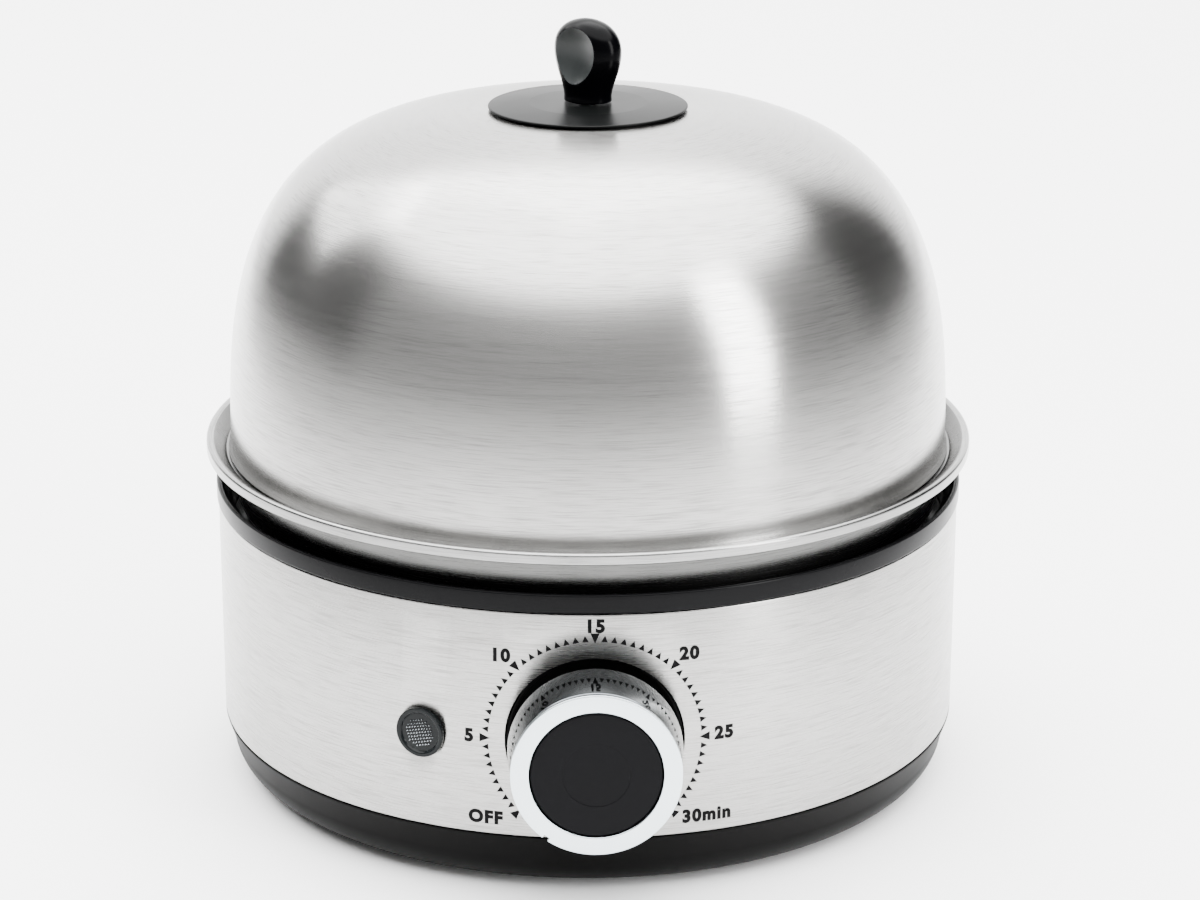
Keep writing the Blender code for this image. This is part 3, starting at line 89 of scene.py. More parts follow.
# Sizes shared by several pieces
GAP = 0.3 * MM               # between pieces that are fixed to each other
MERGE = 0.0005 * MM          # points nearer than this are one
BAND_WALL = 0.8 * MM
BAND_INSIDE = BAND_RADIUS - BAND_WALL
SPIGOT_RADIUS = BAND_INSIDE - GAP
KNOB_RADIUS = 18.8 * MM
KNOB_CAP_RADIUS = 14.4 * MM
KNOB_HOLE_RADIUS = 20.1 * MM
KNOB_SKIRT_FLARE = 0.7 * MM
KNOB_OFF_ANGLE = 217
LENS_RADIUS = 5.8 * MM
LENS_BODY_RADIUS = 5.0 * MM
GLAND_RADIUS = 5 * MM
PAN_WALL = 0.8 * MM
TRAY_WALL = 2.2 * MM
LID_HOLE_RADIUS = 2.3 * MM   # for the screw up through dome, plate and handle
INK_HEIGHT = 0.03 * MM
INK_LIFT = 0.012 * MM        # keeps the ink's rear face clear of the band's facets
GRAIN_RADIUS = 80 * MM       # where one radian of grain is its true length
POST_PLACES = [(73 * MM, angle) for angle in (70, 190, 310)]
FOOT_PLACES = [(64 * MM, angle) for angle in (35, 145, 215, 325)]
VENT_PLACES = [(34 * MM, angle) for angle in range(0, 360, 60)]


# ---------------------------------------------------------------- materials

def linear(colour):
    """An sRGB hex colour as linear RGBA."""
    channels = [int(colour[i:i + 2], 16) / 255 for i in (1, 3, 5)]
    return (*((c / 12.92 if c <= 0.04045 else ((c + 0.055) / 1.055) ** 2.4) for c in channels), 1)


def add(tree, kind, inputs=None, **settings):
    """Adds a node with its settings; an input is a value, or a socket to link."""
    item = tree.nodes.new("ShaderNode" + kind)
    for name, value in settings.items():
        setattr(item, name, value)
    for name, value in (inputs or {}).items():
        if isinstance(value, bpy.types.NodeSocket):
            tree.links.new(value, item.inputs[name])
        else:
            item.inputs[name].default_value = value
    return item


def new_material(name, **sockets):
    """A Principled material; sockets are set directly on the shader."""
    material = bpy.data.materials.new(name)
    material.use_nodes = True
    tree = material.node_tree
    shader = tree.nodes["Principled BSDF"]
    for socket, value in sockets.items():
        shader.inputs[socket.replace("_", " ")].default_value = value
    return material, tree, shader


def vary_gloss(tree, shader, value, low, high):
    """The roughness follows a 0 to 1 value between low and high."""
    gloss = add(tree, "MapRange", {"Value": value, "To Min": low, "To Max": high})
    tree.links.new(gloss.outputs["Result"], shader.inputs["Roughness"])


def blend_colours(tree, shader, factor, first, second):
    """The base colour runs between two hex colours."""
    mix = add(tree, "Mix", {0: factor}, data_type="RGBA")
    mix.inputs[6].default_value = linear(first)
    mix.inputs[7].default_value = linear(second)
    tree.links.new(mix.outputs[2], shader.inputs["Base Color"])


def turned_coordinates(tree):
    """Arc length around the body axis and distance along the section, for grain left by turning."""
    place = add(tree, "TexCoord").outputs["Object"]
    shift = add(tree, "VectorMath", {0: place, 1: (0, -AXIS_Y, 0)}, operation="ADD").outputs[0]
    across, along, up = add(tree, "SeparateXYZ", {0: shift}).outputs
    angle = add(tree, "Math", {0: along, 1: across}, operation="ARCTAN2").outputs[0]
    flat = add(tree, "VectorMath", {0: shift, 1: (1, 1, 0)}, operation="MULTIPLY").outputs[0]
    radius = add(tree, "VectorMath", {0: flat}, operation="LENGTH").outputs["Value"]
    arc_length = add(tree, "Math", {0: angle, 1: GRAIN_RADIUS}, operation="MULTIPLY").outputs[0]
    section = add(tree, "Math", {0: up, 1: radius}, operation="SUBTRACT").outputs[0]
    return arc_length, section


def grain(tree, arc_length, section, streak, width, seed=0.0):
    """Noise drawn out along the brushing: streak and width are real lengths in metres."""
    along = add(tree, "Math", {0: arc_length, 1: 1 / streak}, operation="MULTIPLY").outputs[0]
    across = add(tree, "Math", {0: section, 1: 1 / width}, operation="MULTIPLY").outputs[0]
    vector = add(tree, "CombineXYZ", {0: along, 1: across, 2: seed}).outputs[0]
    look = {"Vector": vector, "Scale": 1.0, "Detail": 3.0, "Roughness": 0.62}
    return add(tree, "TexNoise", look).outputs[0]


def brushed_steel(name, light, dark, rough, stretch, depth):
    """18/10 stainless, spun and then brushed with an abrasive belt around its axis.

    The scratches are 0.3 mm apart here, coarser than the real 0.05 mm, so that they show. They
    smear every reflection across the grain and let a fine silky streaking through.
    """
    material, tree, shader = new_material(
        name, Metallic=1.0, Anisotropic=stretch, Anisotropic_Rotation=0.25,
    )
    arc_length, section = turned_coordinates(tree)
    fine = grain(tree, arc_length, section, 9 * MM, 0.3 * MM)
    broad = grain(tree, arc_length, section, 60 * MM, 2.4 * MM, 7.0)
    both = add(tree, "Math", {0: broad, 1: 0.35, 2: fine}, operation="MULTIPLY_ADD").outputs[0]
    tone = add(tree, "MapRange", {"Value": both, "To Min": -0.7, "To Max": 1.7})
    blend_colours(tree, shader, tone.outputs["Result"], dark, light)
    vary_gloss(tree, shader, fine, rough + 0.09, rough - 0.09)
    bump = add(tree, "Bump", {"Height": fine, "Distance": depth, "Strength": 0.7})
    tree.links.new(bump.outputs[0], shader.inputs["Normal"])
    tangent = add(tree, "Tangent", direction_type="RADIAL", axis="Z")
    tree.links.new(tangent.outputs[0], shader.inputs["Tangent"])
    return material


def moulded_plastic(name, light, dark, rough, texel, depth, shine=0.5):
    """Injection-moulded resin: a faint orange-peel skin with uneven gloss."""
    material, tree, shader = new_material(name, Specular_IOR_Level=shine)
    place = add(tree, "TexCoord").outputs["Object"]
    skin = add(tree, "TexNoise", {"Vector": place, "Scale": 1 / texel, "Detail": 2.0})
    cloud = add(tree, "TexNoise", {"Vector": place, "Scale": 1 / (14 * MM), "Detail": 3.0})
    blend_colours(tree, shader, cloud.outputs[0], dark, light)
    vary_gloss(tree, shader, cloud.outputs[0], rough - 0.05, rough + 0.05)
    bump = add(tree, "Bump", {"Height": skin.outputs[0], "Distance": depth, "Strength": 0.5})
    tree.links.new(bump.outputs[0], shader.inputs["Normal"])
    return material


def plated_metal(name, light, dark, rough, spangle):
    """Plated or rolled metal: soft patches in colour and gloss, with a few fine scratches."""
    material, tree, shader = new_material(name, Metallic=1.0)
    place = add(tree, "TexCoord").outputs["Object"]
    patches = add(tree, "TexVoronoi", {"Vector": place, "Scale": 1 / spangle, "Randomness": 1.0})
    cloud = add(tree, "TexNoise", {"Vector": place, "Scale": 1 / (5 * MM), "Detail": 4.0})
    stretched = add(
        tree, "Mapping", {"Vector": place, "Rotation": (0.3, 0.5, 0.8), "Scale": (1, 14, 14)},
    )
    scratches = add(
        tree, "TexNoise", {"Vector": stretched.outputs[0], "Scale": 180.0, "Detail": 2.0},
    )
    level = add(
        tree, "Math", {0: patches.outputs[0], 1: 0.4, 2: cloud.outputs[0]},
        operation="MULTIPLY_ADD",
    )
    blend_colours(tree, shader, level.outputs[0], dark, light)
    vary_gloss(tree, shader, level.outputs[0], rough - 0.05, rough + 0.09)
    bump = add(tree, "Bump", {"Height": scratches.outputs[0], "Distance": 0.01 * MM, "Strength": 0.3})
    tree.links.new(bump.outputs[0], shader.inputs["Normal"])
    return material


def chrome_plate(name, light, dark, rough):
    """Bright chromium over moulded ABS: a near mirror, with faint wiping marks in its gloss."""
    material, tree, shader = new_material(name, Metallic=1.0)
    place = add(tree, "TexCoord").outputs["Object"]
    haze = add(tree, "TexNoise", {"Vector": place, "Scale": 1 / (6 * MM), "Detail": 4.0})
    blend_colours(tree, shader, haze.outputs[0], dark, light)
    vary_gloss(tree, shader, haze.outputs[0], rough - 0.03, rough + 0.03)
    return material


def printing_ink(name):
    """Pad-printed black enamel ink, slightly uneven in tone."""
    return moulded_plastic(
        name, "#080809", "#020202", 0.45, 0.3 * MM, 0.004 * MM, shine=0.05,
    )


def clear_plastic(name, tint, rough):
    """Clear moulded polycarbonate; tiny flow marks vary its polish."""
    material, tree, shader = new_material(name, IOR=1.58, Transmission_Weight=1.0)
    place = add(tree, "TexCoord").outputs["Object"]
    flow = add(tree, "TexNoise", {"Vector": place, "Scale": 1 / (2 * MM), "Detail": 2.0})
    blend_colours(tree, shader, flow.outputs[0], tint, "#F4F7F8")
    vary_gloss(tree, shader, flow.outputs[0], rough, rough + 0.05)
    return material


def speckled_ceramic(name, light, dark):
    """Steatite or a mineral-filled moulding: matt, with a fine dark fleck."""
    material, tree, shader = new_material(name)
    place = add(tree, "TexCoord").outputs["Object"]
    flecks = add(tree, "TexVoronoi", {"Vector": place, "Scale": 1 / (0.5 * MM)})
    tone = add(tree, "MapRange", {"Value": flecks.outputs[0], "To Min": 0.2, "To Max": 1.0})
    blend_colours(tree, shader, tone.outputs["Result"], dark, light)
    vary_gloss(tree, shader, flecks.outputs[0], 0.75, 0.5)
    return material


# ------------------------------------------------------------------- meshes

def soften(corners, radius, steps=4):
    """Rounds the corners of a closed outline, but not those on the axis."""
    points = [Vector(corner) for corner in corners]
    rounded = []
    for before, here, after in zip(points[-1:] + points[:-1], points, points[1:] + points[:1]):
        if here.x < 1e-7:
            rounded.append(tuple(here))
            continue
        back, ahead = before - here, after - here
        reach = min(radius, back.length * 0.45, ahead.length * 0.45)
        start = here + back.normalized() * reach
        end = here + ahead.normalized() * reach
        for step in range(steps + 1):
            t = step / steps
            rounded.append(tuple(start * (1 - t) ** 2 + here * 2 * t * (1 - t) + end * t * t))
    return rounded


def arc(centre, radius, start, end, steps):
    """Points around an arc, in degrees, both ends included."""
    angles = [math.radians(start + (end - start) * i / steps) for i in range(steps + 1)]
    return [(centre[0] + radius * math.cos(a), centre[1] + radius * math.sin(a)) for a in angles]


def smooth_path(corners, radius, steps=6):
    """Rounds the inner corners of an open path."""
    points = [Vector(corner) for corner in corners]
    path = [tuple(points[0])]
    for before, here, after in zip(points, points[1:], points[2:]):
        reach = min(radius, (before - here).length * 0.48, (after - here).length * 0.48)
        start = here + (before - here).normalized() * reach
        end = here + (after - here).normalized() * reach
        for step in range(steps + 1):
            t = step / steps
            path.append(tuple(start * (1 - t) ** 2 + here * 2 * t * (1 - t) + end * t * t))
    return path + [tuple(points[-1])]


def sheet(path, thickness):
    """The closed outline of sheet metal that follows an open path, with rounded cut edges."""
    points = [Vector(point) for point in path]
    sides = []
    for before, here, after in zip([None] + points[:-1], points, points[1:] + [None]):
        ahead = (after - here).normalized() if after else (here - before).normalized()
        behind = (here - before).normalized() if before else ahead
        across = (ahead + behind).normalized().orthogonal()
        reach = thickness / 2 / max(across.dot(ahead.orthogonal()), 0.5)
        sides.append((here + across * reach, here - across * reach))
    outline = [tuple(left) for left, _ in sides]
    if points[-1].x > 1e-7:
        end = (points[-1] - points[-2]).normalized() * thickness * 0.35
        outline.append(tuple(points[-1] + end))
    outline += [tuple(right) for _, right in reversed(sides)]
    if points[0].x > 1e-7:
        start = (points[0] - points[1]).normalized() * thickness * 0.35
        outline.append(tuple(points[0] + start))
    return outline


def spin_outline(outline, steps):
    """The solid swept by a closed outline of (radius, height) points around Z."""
    bm = bmesh.new()
    corners = [bm.verts.new((max(radius, 0), 0, height)) for radius, height in outline]
    edges = [bm.edges.new((a, b)) for a, b in zip(corners, corners[1:] + corners[:1])]
    bmesh.ops.spin(
        bm, geom=corners + edges, cent=(0, 0, 0), axis=(0, 0, 1),
        angle=math.tau, steps=steps, use_merge=True,
    )
    bmesh.ops.remove_doubles(bm, verts=bm.verts, dist=MERGE)
    on_axis = [edge for edge in bm.edges if not edge.link_faces]
    bmesh.ops.delete(bm, geom=on_axis, context="EDGES")
    bmesh.ops.recalc_face_normals(bm, faces=bm.faces)
    return bm


def new_object(name, data):
    item = bpy.data.objects.new(name, data)
    bpy.context.scene.collection.objects.link(item)
    return item


def new_mesh(name, bm):
    """The mesh of a bmesh, which is freed."""
    mesh = bpy.data.meshes.new(name)
    bm.to_mesh(mesh)
    bm.free()
    return mesh


def shade(mesh, crease):
    """Smooth shading, except over edges sharper than the crease, in degrees."""
    mesh.shade_smooth()
    mesh.set_sharp_from_angle(angle=math.radians(crease))


def evaluated_mesh(item):
    """A new mesh of the object with its modifiers or bevel applied."""
    depsgraph = bpy.context.evaluated_depsgraph_get()
    return bpy.data.meshes.new_from_object(item.evaluated_get(depsgraph))


def add_piece(name, bm, body, material, matrix=BODY, replaces=(), slot=None, crease=35):
    """Makes the object, in its place in the mesh, and hangs it on its body."""
    bmesh.ops.transform(bm, matrix=matrix, verts=bm.verts)
    mesh = new_mesh(name, bm)
    shade(mesh, crease)
    mesh.materials.append(material)
    piece = new_object(name, mesh)
    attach(piece, body)
    if replaces:
        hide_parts(*replaces)
    return piece


def turned(name, outline, body, material, steps=FINE_STEPS, **options):
    return add_piece(name, spin_outline(outline, steps), body, material, **options)


def cutter(bm, matrix):
    """An object for Boolean cuts only; it is removed once it has cut."""
    bmesh.ops.recalc_face_normals(bm, faces=bm.faces)
    bmesh.ops.transform(bm, matrix=matrix, verts=bm.verts)
    return new_object("cutter", new_mesh("cutter", bm))


def round_cutter(radius, low, high, matrix, steps=SMALL_STEPS):
    return cutter(spin_outline([(0, low), (radius, low), (radius, high), (0, high)], steps), matrix)


def cross_recess(screw, matrix, level, length, width, depth):
    """Cuts a cross for a screwdriver into the head, centred on the level."""
    tools = []
    for turn in (0, 90):
        bm = bmesh.new()
        bmesh.ops.create_cube(bm, size=1, matrix=Matrix.Diagonal((length, width, depth, 1)))
        spot = Matrix.Translation((0, 0, level)) @ Matrix.Rotation(math.radians(turn), 4, "Z")
        tools.append(cutter(bm, matrix @ spot))
    cut(screw, tools)


def cut(piece, tools, edge=0.0, crease=35):
    """Cuts the tools out of the piece, and breaks the new edges."""
    for tool in tools:
        modifier = piece.modifiers.new("cut", "BOOLEAN")
        modifier.operation = "DIFFERENCE"
        modifier.solver = "EXACT"
        modifier.material_mode = "TRANSFER"
        modifier.object = tool
    if edge:
        bevel = piece.modifiers.new("edge", "BEVEL")
        bevel.width = edge
        bevel.segments = 2
        bevel.limit_method = "ANGLE"
        bevel.angle_limit = math.radians(50)
    mesh = evaluated_mesh(piece)
    piece.modifiers.clear()
    piece.data = mesh
    shade(mesh, crease)
    for tool in tools:
        bpy.data.objects.remove(tool)


def swept_wire(name, route, radius, body, material, replaces, slot):
    """A round wire along a smooth route, as a mesh with closed ends."""
    curve = bpy.data.curves.new(name, "CURVE")
    curve.dimensions = "3D"
    curve.bevel_depth = radius
    curve.bevel_resolution = 5
    curve.use_fill_caps = True
    spline = curve.splines.new("POLY")
    spline.points.add(len(route) - 1)
    for point, place in zip(spline.points, route):
        point.co = (*place, 1)
    guide = new_object(name + " guide", curve)
    mesh = evaluated_mesh(guide)
    bpy.data.objects.remove(guide)
    bm = bmesh.new()
    bm.from_mesh(mesh)
    bmesh.ops.remove_doubles(bm, verts=bm.verts, dist=MERGE)
    bmesh.ops.recalc_face_normals(bm, faces=bm.faces)
    return add_piece(name, bm, body, material, BODY, replaces, slot)


def polar(radius, degrees):
    return radius * math.cos(math.radians(degrees)), radius * math.sin(math.radians(degrees))


def clock(radius, degrees):
    """A point at a dial angle, clockwise from the top, in the timer frame."""
    return polar(radius, 90 - degrees)


def placed(places):
    """One matrix for each (radius, angle) around the body axis."""
    return [BODY @ Matrix.Translation((*polar(radius, angle), 0)) for radius, angle in places]


# ----------------------------------------------------------------- finishes

# silky silver, with the long streaks of the belt running round it
DOME_STEEL = brushed_steel(
    "spun and brushed 18-10 stainless", "#ABAAA8", "#6E6D6C", 0.23, 0.75, 0.012 * MM,
)
# flatter and greyer than the dome, so that the printed scale reads
BAND_STEEL = brushed_steel(
    "belt-brushed stainless strip", "#A2A19F", "#6F6E6C", 0.28, 0.6, 0.012 * MM,
)
# smoother and cooler, for the hem's clean line under the dome
PAN_STEEL = brushed_steel(
    "pressed stainless, satin polished", "#969695", "#6E6E6D", 0.25, 0.6, 0.006 * MM,
)
# painted shade: the pan's steel made darker for the wall under the flange and the step and flange
# beside the dome, which sets the dome off from the hem
SHADED_PAN_STEEL = brushed_steel(
    "pan steel darkened as painted shade", "#565655", "#434342", 0.26, 0.5, 0.004 * MM,
)
# plain bright sheet with soft patches
RACK_STEEL = plated_metal("stamped stainless sheet", "#A2A2A0", "#7C7C7A", 0.26, 3 * MM)
# deep black ring with one long highlight
GLOSS_BLACK = moulded_plastic(
    "polished black ABS", "#0B0B0C", "#070708", 0.24, 0.9 * MM, 0.006 * MM, shine=0.05,
)
# the blackest piece, with small sharp lights
HANDLE_BLACK = moulded_plastic(
    "black phenolic resin", "#030304", "#010102", 0.2, 0.7 * MM, 0.004 * MM, shine=0.04,
)
# the handle's black resin, rougher, and lightened to grey-green as painted sheen where the hollows
# catch the ceiling
FACET_BLACK = moulded_plastic(
    "rougher face of the handle with painted sheen", "#2C2F2F", "#222525", 0.3, 0.3 * MM, 0.006 * MM,
)
# soft black without highlights
SATIN_BLACK = moulded_plastic(
    "satin black polypropylene", "#070707", "#040404", 0.45, 0.35 * MM, 0.012 * MM, shine=0.04,
)
# black plate with a fine tooth and a broad dim shine
DISC_BLACK = moulded_plastic(
    "fine-textured black polyamide", "#0A0B0B", "#060707", 0.32, 0.30 * MM, 0.006 * MM, shine=0.04,
)
# even black inlay against the pearl ring
CAP_BLACK = moulded_plastic(
    "satin black acrylic", "#0A0A0C", "#080809", 0.4, 0.5 * MM, 0.005 * MM, shine=0.04,
)
# dusty charcoal
RUBBER = moulded_plastic(
    "black thermoplastic rubber", "#1C1C1C", "#101010", 0.78, 0.25 * MM, 0.02 * MM,
)
# milky, slightly warm
SILICONE = moulded_plastic("white moulded silicone", "#D9D6CF", "#C6C2BA", 0.5, 0.5 * MM, 0.01 * MM)
# yellowish electrical cream
CREAM = moulded_plastic(
    "cream glass-filled nylon", "#CFC6AE", "#BBB197", 0.46, 0.3 * MM, 0.015 * MM,
)
# dark mirror that shows the room in bands
CHROME = chrome_plate("bright chromium plate", "#6C7073", "#5E6265", 0.06)
# pale bluish ring without hard reflections
SATIN_CHROME = chrome_plate("pearl chromium plate", "#CFD8DC", "#C6CFD4", 0.24)
# blue-grey spangle
ZINC = plated_metal("zinc-plated steel", "#C3C6CA", "#8F9499", 0.34, 1.2 * MM)
# pale, matt and cloudy
ALUMINIUM = plated_metal("die-cast aluminium", "#C9CACB", "#A5A7A9", 0.40, 2 * MM)
# warm yellow clockwork
BRASS = plated_metal("rolled clock brass", "#D9B56B", "#B48A3E", 0.28, 2.5 * MM)
# brownish grey from heat
ELEMENT_STEEL = plated_metal("oxidised heater sheath", "#6D6A66", "#4A4744", 0.5, 1.5 * MM)
# chalky white with flecks
CERAMIC = speckled_ceramic("unglazed steatite", "#E3DDD0", "#C4BCAC")
# flat black figures that never shine
INK = printing_ink("pad-printed black ink")
# painted shade: the clear lens coloured near black for the dark chamber behind it; its sharp rim
# light is a real reflection
LENS = moulded_plastic(
    "polycarbonate lens darkened as painted shade", "#0E1112", "#0A0C0D", 0.06, 4 * MM, 0.002 * MM, shine=0.10,
)
# clear, faintly orange bulb
NEON_GLASS = clear_plastic("neon bulb glass", "#F3E2D6", 0.01)
# tiny silver sparks in the lens
PRISMS = chrome_plate("silvered lens prisms", "#D2D8DC", "#C2C8CC", 0.16)
# painted shade: the lamp chamber coloured near black for the darkness behind the lens
DARK_CAVITY = moulded_plastic("lamp chamber darkened as painted shade", "#121415", "#0A0B0C", 0.5, 0.4 * MM, 0.01 * MM)


# --------------------------------------------------------------------- base

def make_tray():
    """A shallow bowl with a spigot for the band, three screw bosses and holes underneath."""
    waist = BAND_RADIUS - 1.8 * MM
    underside = TRAY_LOW.z
    top = BAND_LOW.z - GAP
    spigot_top = top + 2 * MM
    waist_level = top - 5.6 * MM
    foot = BAND_RADIUS - 10.2 * MM
    wall = TRAY_WALL
    inside = SPIGOT_RADIUS - wall
    drop = waist_level - underside
    skirt = []
    for degrees in range(0, 91, 6):
        angle = math.radians(degrees)
        reach = foot + (waist - foot) * math.sin(angle)
        skirt.append((reach, waist_level - drop * math.cos(angle)))
    outer = [(0, underside), (foot - 3 * MM, underside), *skirt]
    outer += soften([
        (waist, waist_level), (BAND_RADIUS, top - 0.4 * MM), (BAND_RADIUS, top),
        (SPIGOT_RADIUS, top),
    ], 0.5 * MM)[5:]
    outer += [(SPIGOT_RADIUS, spigot_top), (inside, spigot_top), (inside, waist_level + wall)]
    inner = [(radius - wall, level + wall * 0.6) for radius, level in skirt[13:3:-1]]
    outline = outer + inner + [(foot - wall, underside + wall), (0, underside + wall)]
    tray = turned(
        "base_moulding", outline, "base", SATIN_BLACK, STEPS, replaces=["base_tray"],
        slot="base_tray",
    )
    through = underside + wall + 1 * MM
    cut(tray, [
        round_cutter(radius, 0, through, matrix, steps)
        for places, radius, steps in (
            (POST_PLACES, 3.9 * MM, SMALL_STEPS), (FOOT_PLACES, 2.7 * MM, SMALL_STEPS),
            (VENT_PLACES, 2.5 * MM, 24),
        )
        for matrix in placed(places)
    ])
    boss_low = underside + wall - 0.2 * MM
    boss_top = top + 2.4 * MM
    for number, matrix in enumerate(placed(POST_PLACES), 1):
        outline = soften([
            (3.9 * MM, boss_low), (5.6 * MM, boss_low), (5.6 * MM, boss_top), (2.0 * MM, boss_top),
            (2.0 * MM, boss_top - 4 * MM), (3.9 * MM, boss_top - 4 * MM),
        ], 0.2 * MM, 2)
        turned(
            f"screw_boss_{number}", outline, "base", SATIN_BLACK, SMALL_STEPS, matrix=matrix,
            slot="base_tray",
        )


def make_feet():
    """Press-in feet: a hollow tread, a neck in the tray's hole and a barb above it."""
    for number, matrix in enumerate(placed(FOOT_PLACES), 1):
        outline = [(0, 0.25 * MM), (5.2 * MM, 0.25 * MM), *soften([
            (5.6 * MM, 0), (7 * MM, 0), (7 * MM, 1.2 * MM), (2.4 * MM, 1.2 * MM),
            (2.4 * MM, 4 * MM), (3.3 * MM, 4 * MM), (1.8 * MM, 6 * MM),
        ], 0.4 * MM), (0, 6 * MM)]
        turned(
            f"rubber_foot_{number}", outline, "base", RUBBER, SMALL_STEPS, matrix=matrix,
            replaces=[f"foot_{number}"], slot="rubber",
        )


def make_screws():
    """Pan-head screws whose thread is drawn as a row of ridges."""
    core, crest, pitch = 1.45 * MM, 1.7 * MM, 0.8 * MM
    low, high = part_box("base_screw_1")
    head = low.z + 2.6 * MM
    for number, matrix in enumerate(placed(POST_PLACES), 1):
        outline = [(0, low.z), *soften([
            (2.4 * MM, low.z), (3.3 * MM, low.z + 0.9 * MM), (3.3 * MM, head), (crest, head),
        ], 0.3 * MM)]
        level = head + 1 * MM
        while level < high.z - 3 * MM:
            outline += [(core, level), (crest, level + 0.35 * MM), (core, level + 0.7 * MM)]
            level += pitch
        outline += [(1.4 * MM, high.z - 2.4 * MM), (0.4 * MM, high.z - 0.2 * MM), (0, high.z)]
        screw = turned(
            f"pan_head_screw_{number}", outline, "base", ZINC, SMALL_STEPS, matrix=matrix,
            replaces=[f"base_screw_{number}"], slot="zinc_steel",
        )
        cross_recess(screw, matrix, low.z, 4 * MM, 0.8 * MM, 2.4 * MM)


def make_band():
    """The strip, with rounded edges around the holes of knob, lamp and cord."""
    outline = soften([
        (BAND_INSIDE, BAND_LOW.z), (BAND_RADIUS, BAND_LOW.z),
        (BAND_RADIUS, BAND_HIGH.z), (BAND_INSIDE, BAND_HIGH.z),
    ], 0.25 * MM, 3)
    band = turned(
        "brushed_band", outline, "base", BAND_STEEL, STEPS, replaces=["steel_band"],
        slot="band_steel",
    )
    low, high = BAND_INSIDE * 0.85, BAND_RADIUS * 1.1
    cut(band, [
        round_cutter(KNOB_HOLE_RADIUS, low, high, TIMER, FINE_STEPS),
        round_cutter(LENS_BODY_RADIUS + GAP, low, high, LAMP),
        round_cutter(GLAND_RADIUS + GAP, low, high, CORD),
    ], edge=0.32 * MM)


def make_collar():
    """The ring that carries the pan on an inner ledge, and the posts that hold it down."""
    radius = COLLAR_HIGH.x
    low = BAND_HIGH.z + GAP
    top = COLLAR_HIGH.z
    inside = 86.8 * MM
    ledge_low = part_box("pan_bracket")[1].z + GAP
    ledge_top = ledge_low + 1.6 * MM
    ledge_inside = 67.4 * MM
    lip = radius - 1.1 * MM
    outline = soften([
        (radius, low), (radius, top), (lip, top), (lip - 0.7 * MM, top - 1.35 * MM),
        (inside, top - 3 * MM), (inside, ledge_top), (ledge_inside, ledge_top),
        (ledge_inside, ledge_low), (SPIGOT_RADIUS, ledge_low), (SPIGOT_RADIUS, low),
    ], 0.45 * MM)
    turned(
        "upper_ring", outline, "base", GLOSS_BLACK, STEPS, replaces=["top_collar"],
        slot="black_gloss",
    )
    post_low = TRAY_HIGH.z + GAP
    for number, matrix in enumerate(placed(POST_PLACES), 1):
        outline = soften([
            (2 * MM, post_low), (4 * MM, post_low), (4.3 * MM, ledge_low - 0.05 * MM),
            (2 * MM, ledge_low - 0.05 * MM),
        ], 0.2 * MM, 2)
        turned(
            f"ring_post_{number}", outline, "base", GLOSS_BLACK, SMALL_STEPS, matrix=matrix,
            slot="black_gloss",
        )


def make_pan():
    """The pan: a raised middle, a step that the lid stands in, a flange and a rolled hem."""
    outside, depth, step_depth = 86.2 * MM, 19.1 * MM, 3.1 * MM
    corner = 6 * MM
    wall = outside - PAN_WALL / 2
    floor = PAN_HIGH.z - depth + PAN_WALL / 2
    flange = PAN_HIGH.z - PAN_WALL / 2
    seat = flange - step_depth
    hem = PAN_HIGH.x - PAN_WALL / 2
    path = [(0, floor), (wall * 0.55, floor)]
    path += [(wall * 0.6, floor - 0.12 * MM), (wall - 13 * MM, floor)]
    path += arc((wall - 6.9 * MM, floor + corner), corner, -90, 0, 14)
    path += smooth_path([
        (wall, seat - 5 * MM), (wall + 0.1 * MM, seat), (wall + 2.1 * MM, seat),
        (hem - 1.2 * MM, flange - 0.3 * MM), (hem - 0.6 * MM, flange),
        (hem, flange - 0.15 * MM), (hem, flange - 2.1 * MM),
    ], 0.28 * MM, 6)
    outline = sheet(path, PAN_WALL)
    outline = [(0, floor + PAN_WALL / 2)] + outline[1:-1] + [(0, floor - PAN_WALL / 2)]
    pan = turned(
        "water_pan", outline, "base", PAN_STEEL, STEPS, replaces=["heating_pan"], slot="spun_steel",
    )
    pan.data.materials.append(SHADED_PAN_STEEL)
    for face in pan.data.polygons:      # painted shade: the wall, step and flange take the darkened steel, the floor and the hem keep the plain one
        reach = math.hypot(face.center.x, face.center.y - AXIS_Y)
        face.material_index = int(wall - 1.5 * MM < reach < hem - 1.3 * MM)
    low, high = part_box("pan_gasket")
    inside = high.x - 4 * MM
    outline = soften([
        (inside, low.z), (high.x, low.z), (high.x, high.z), (inside, high.z),
    ], 0.4 * MM)
    turned(
        "silicone_seal", outline, "base", SILICONE, STEPS, replaces=["pan_gasket"], slot="silicone",
    )


# ---------------------------------------------------------------------- lid

